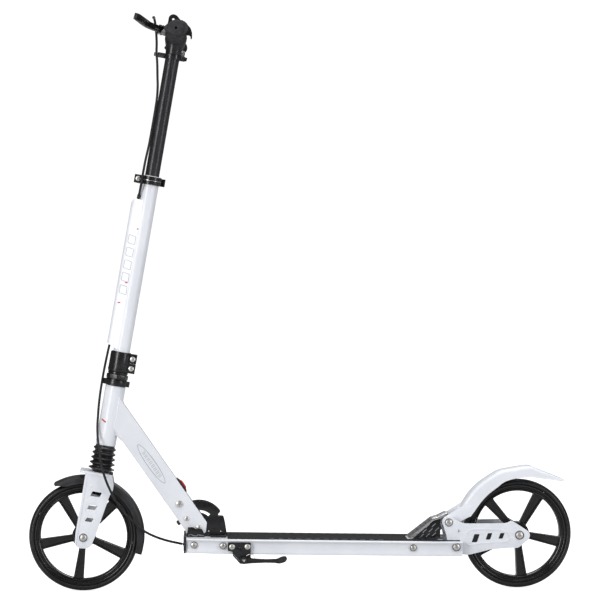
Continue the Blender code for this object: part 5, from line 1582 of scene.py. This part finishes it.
def tail_cover():
    """Bent cover over the rear elastomer: bright metal edges as a painted reflection on its glossy black top,
    and dark webs with short bright dashes as painted highlights on its tread studs.
    """
    path = [(0.1965, 0.0932), (0.1965, 0.0960), (0.2400, 0.1290), (0.2510, 0.1320), (0.2660, 0.1392),
            (0.2740, 0.1365), (0.2720, 0.1340), (0.2655, 0.1356), (0.2520, 0.1288), (0.2412, 0.1258),
            (0.2030, 0.0932)]
    # painted reflection: the cover is made bright metal to stand for the sheen on a glossy black top seen at
    # a grazing angle
    cover = bevelled(plate(rounded(path, 0.0016, 3), -0.0220, 0.0220), 0.0007, 2)
    web = [(0.2010, 0.0934), (0.2405, 0.1270), (0.2520, 0.1300), (0.2545, 0.1305), (0.2540, 0.0930)]
    parts = [(cover, SILVER_AND_GLINT)]
    for side in (-1, 1):
        low, high = sorted((side * 0.0185, side * 0.0213))
        parts.append((bevelled(plate(web, low, high), 0.0004), BLACK))
        for row in range(3):
            for k in range(3 - row // 2):
                x = 0.2200 + 0.0112 * k + 0.0052 * row
                z = 0.0985 + 0.0088 * row + 0.0012 * k
                # painted highlights: bright dashes stand for the highlights on the raised tread studs
                dash = rounded(slanted((x, z), 0.0018, 0.0062, 0.0066), 0.0005, 2)
                low, high = sorted((side * 0.0211, side * 0.0218))
                parts.append((plate(dash, low, high), SILVER_AND_GLINT))
    for k in range(5):
        start = Vector((0.2055 + 0.0074 * k, 0, 0.1018 + 0.0056 * k))
        tread = hose([start + Vector((0, y, 0.0017)) for y in (-0.0150, -0.0075, 0.0, 0.0075, 0.0150)],
                     0.0010, 10)
        parts.append((tread, DARK_STEEL))
    piece("tail_cover_detail", parts, "deck", WORLD, ["tail_cover"], angle=32)
    seat = bevelled(plate([(0.2195, 0.0930), (0.2294, 0.0928), (0.2294, 0.1110), (0.2195, 0.1050)], -0.0180,
                          0.0180), 0.0008)
    piece("elastomer_seat_detail", [(seat, DARK_STEEL)], "deck", WORLD, ["elastomer_seat"],
          angle=32)
    start, end = Vector((0.2326, 0, 0.1042)), Vector((0.2565, 0, 0.1140))
    along = (end - start).normalized()
    across = Vector((-along.z, 0, along.x))
    rings = []
    for k in range(33):
        t = k / 32
        r = 0.0078 + 0.0010 * math.cos(4 * math.pi * t - math.pi * 0.9)
        centre = start.lerp(end, t)
        rings.append([centre + across * a + Vector((0, b, 0)) for a, b in circle(r, 40)])
    cushion = piece("rear_elastomer_detail", [(loft(rings), RUBBER)], None, WORLD, ["rear_elastomer"],
                    angle=45)
    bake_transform(cushion)


# ---------------------------------------------------------------- studio and camera
def area_light(name, location, target, size, power, colour=(1, 1, 1)):
    data = bpy.data.lights.new(name, "AREA")
    data.shape = "RECTANGLE"
    data.size, data.size_y = size
    data.energy = power
    data.color = colour
    obj = bpy.data.objects.new(name, data)
    obj.location = location
    obj.rotation_euler = (Vector(target) - Vector(location)).to_track_quat("-Z", "Y").to_euler()
    bpy.context.scene.collection.objects.link(obj)


def studio():
    """White floor and surround with soft light; the camera sees the surround brighter than it lights."""
    floor = bpy.data.materials.new("studio_floor")
    floor.use_nodes = True
    shader = floor.node_tree.nodes["Principled BSDF"]
    shader.inputs["Base Color"].default_value = (0.42, 0.42, 0.42, 1)
    shader.inputs["Roughness"].default_value = 0.9
    shader.inputs["Specular IOR Level"].default_value = 0.0
    shader.inputs["Emission Color"].default_value = (1, 1, 1, 1)
    glow = floor.node_tree.nodes.new("ShaderNodeMath")
    glow.operation = "MULTIPLY"
    glow.inputs[1].default_value = 0.88
    ray = floor.node_tree.nodes.new("ShaderNodeLightPath")
    floor.node_tree.links.new(ray.outputs["Is Camera Ray"], glow.inputs[0])
    floor.node_tree.links.new(glow.outputs["Value"], shader.inputs["Emission Strength"])
    mesh = bpy.data.meshes.new("floor")
    mesh.from_pydata([(-30, -30, -0.0005), (30, -30, -0.0005), (30, 30, -0.0005), (-30, 30, -0.0005)], [],
                     [(0, 1, 2, 3)])
    mesh.materials.append(floor)
    obj = bpy.data.objects.new("floor", mesh)
    bpy.context.scene.collection.objects.link(obj)
    world = bpy.data.worlds.new("studio")
    bpy.context.scene.world = world
    world.use_nodes = True
    nodes, links = world.node_tree.nodes, world.node_tree.links
    surround = nodes["Background"]
    surround.inputs["Color"].default_value = (0.95, 0.975, 1.0, 1)
    surround.inputs["Strength"].default_value = 0.60
    dim = nodes.new("ShaderNodeBackground")
    dim.inputs["Color"].default_value = (1, 1, 1, 1)
    dim.inputs["Strength"].default_value = 0.12
    backdrop = nodes.new("ShaderNodeBackground")
    backdrop.inputs["Color"].default_value = (1, 1, 1, 1)
    backdrop.inputs["Strength"].default_value = 1.05
    ray = nodes.new("ShaderNodeLightPath")
    shiny = nodes.new("ShaderNodeMixShader")
    links.new(ray.outputs["Is Glossy Ray"], shiny.inputs["Fac"])
    links.new(surround.outputs["Background"], shiny.inputs[1])
    links.new(dim.outputs["Background"], shiny.inputs[2])
    seen = nodes.new("ShaderNodeMixShader")
    links.new(ray.outputs["Is Camera Ray"], seen.inputs["Fac"])
    links.new(shiny.outputs["Shader"], seen.inputs[1])
    links.new(backdrop.outputs["Background"], seen.inputs[2])
    links.new(seen.outputs["Shader"], nodes["World Output"].inputs["Surface"])
    area_light("left_strip", (-2.2, -2.4, 1.0), (0.0, 0.0, 0.45), (0.7, 2.6), 46, (1.0, 0.99, 0.98))
    area_light("right_strip", (2.4, -2.2, 1.0), (0.0, 0.0, 0.45), (0.7, 2.6), 26, (0.97, 0.98, 1.0))
    area_light("top", (0.0, -0.4, 3.0), (0.0, 0.0, 0.4), (2.4, 1.6), 34)
    area_light("back", (0.6, 2.6, 2.0), (0.0, 0.0, 0.4), (2.0, 1.2), 20)
    bpy.context.scene.view_settings.view_transform = "Standard"


def camera():
    data = bpy.data.cameras.new("camera")
    data.lens = 143.7
    data.sensor_width = 36
    obj = bpy.data.objects.new("camera", data)
    data.shift_y = -0.0833
    yaw = math.radians(3)
    obj.location = (-0.2328, -4.394, 0.622)
    obj.rotation_euler = Vector((math.sin(yaw), math.cos(yaw), 0.0)).to_track_quat("-Z", "Y").to_euler()
    data.clip_end = 200
    bpy.context.scene.collection.objects.link(obj)
    bpy.context.scene.camera = obj


def build():
    wheel("front", FRONT_AXLE, FRONT_SPOKE_PHASE, "front_wheel")
    wheel("rear", REAR_AXLE, REAR_SPOKE_PHASE, "rear_wheel")
    fork()
    front_fender()
    headset()
    boot()
    column_clamp()
    column()
    height_clamp()
    handlebar()
    brake()
    cable()
    front_frame()
    deck()
    fold_hardware()
    kickstand()
    rear_arm()
    rear_fender()
    tail_cover()


camera()
studio()
build()
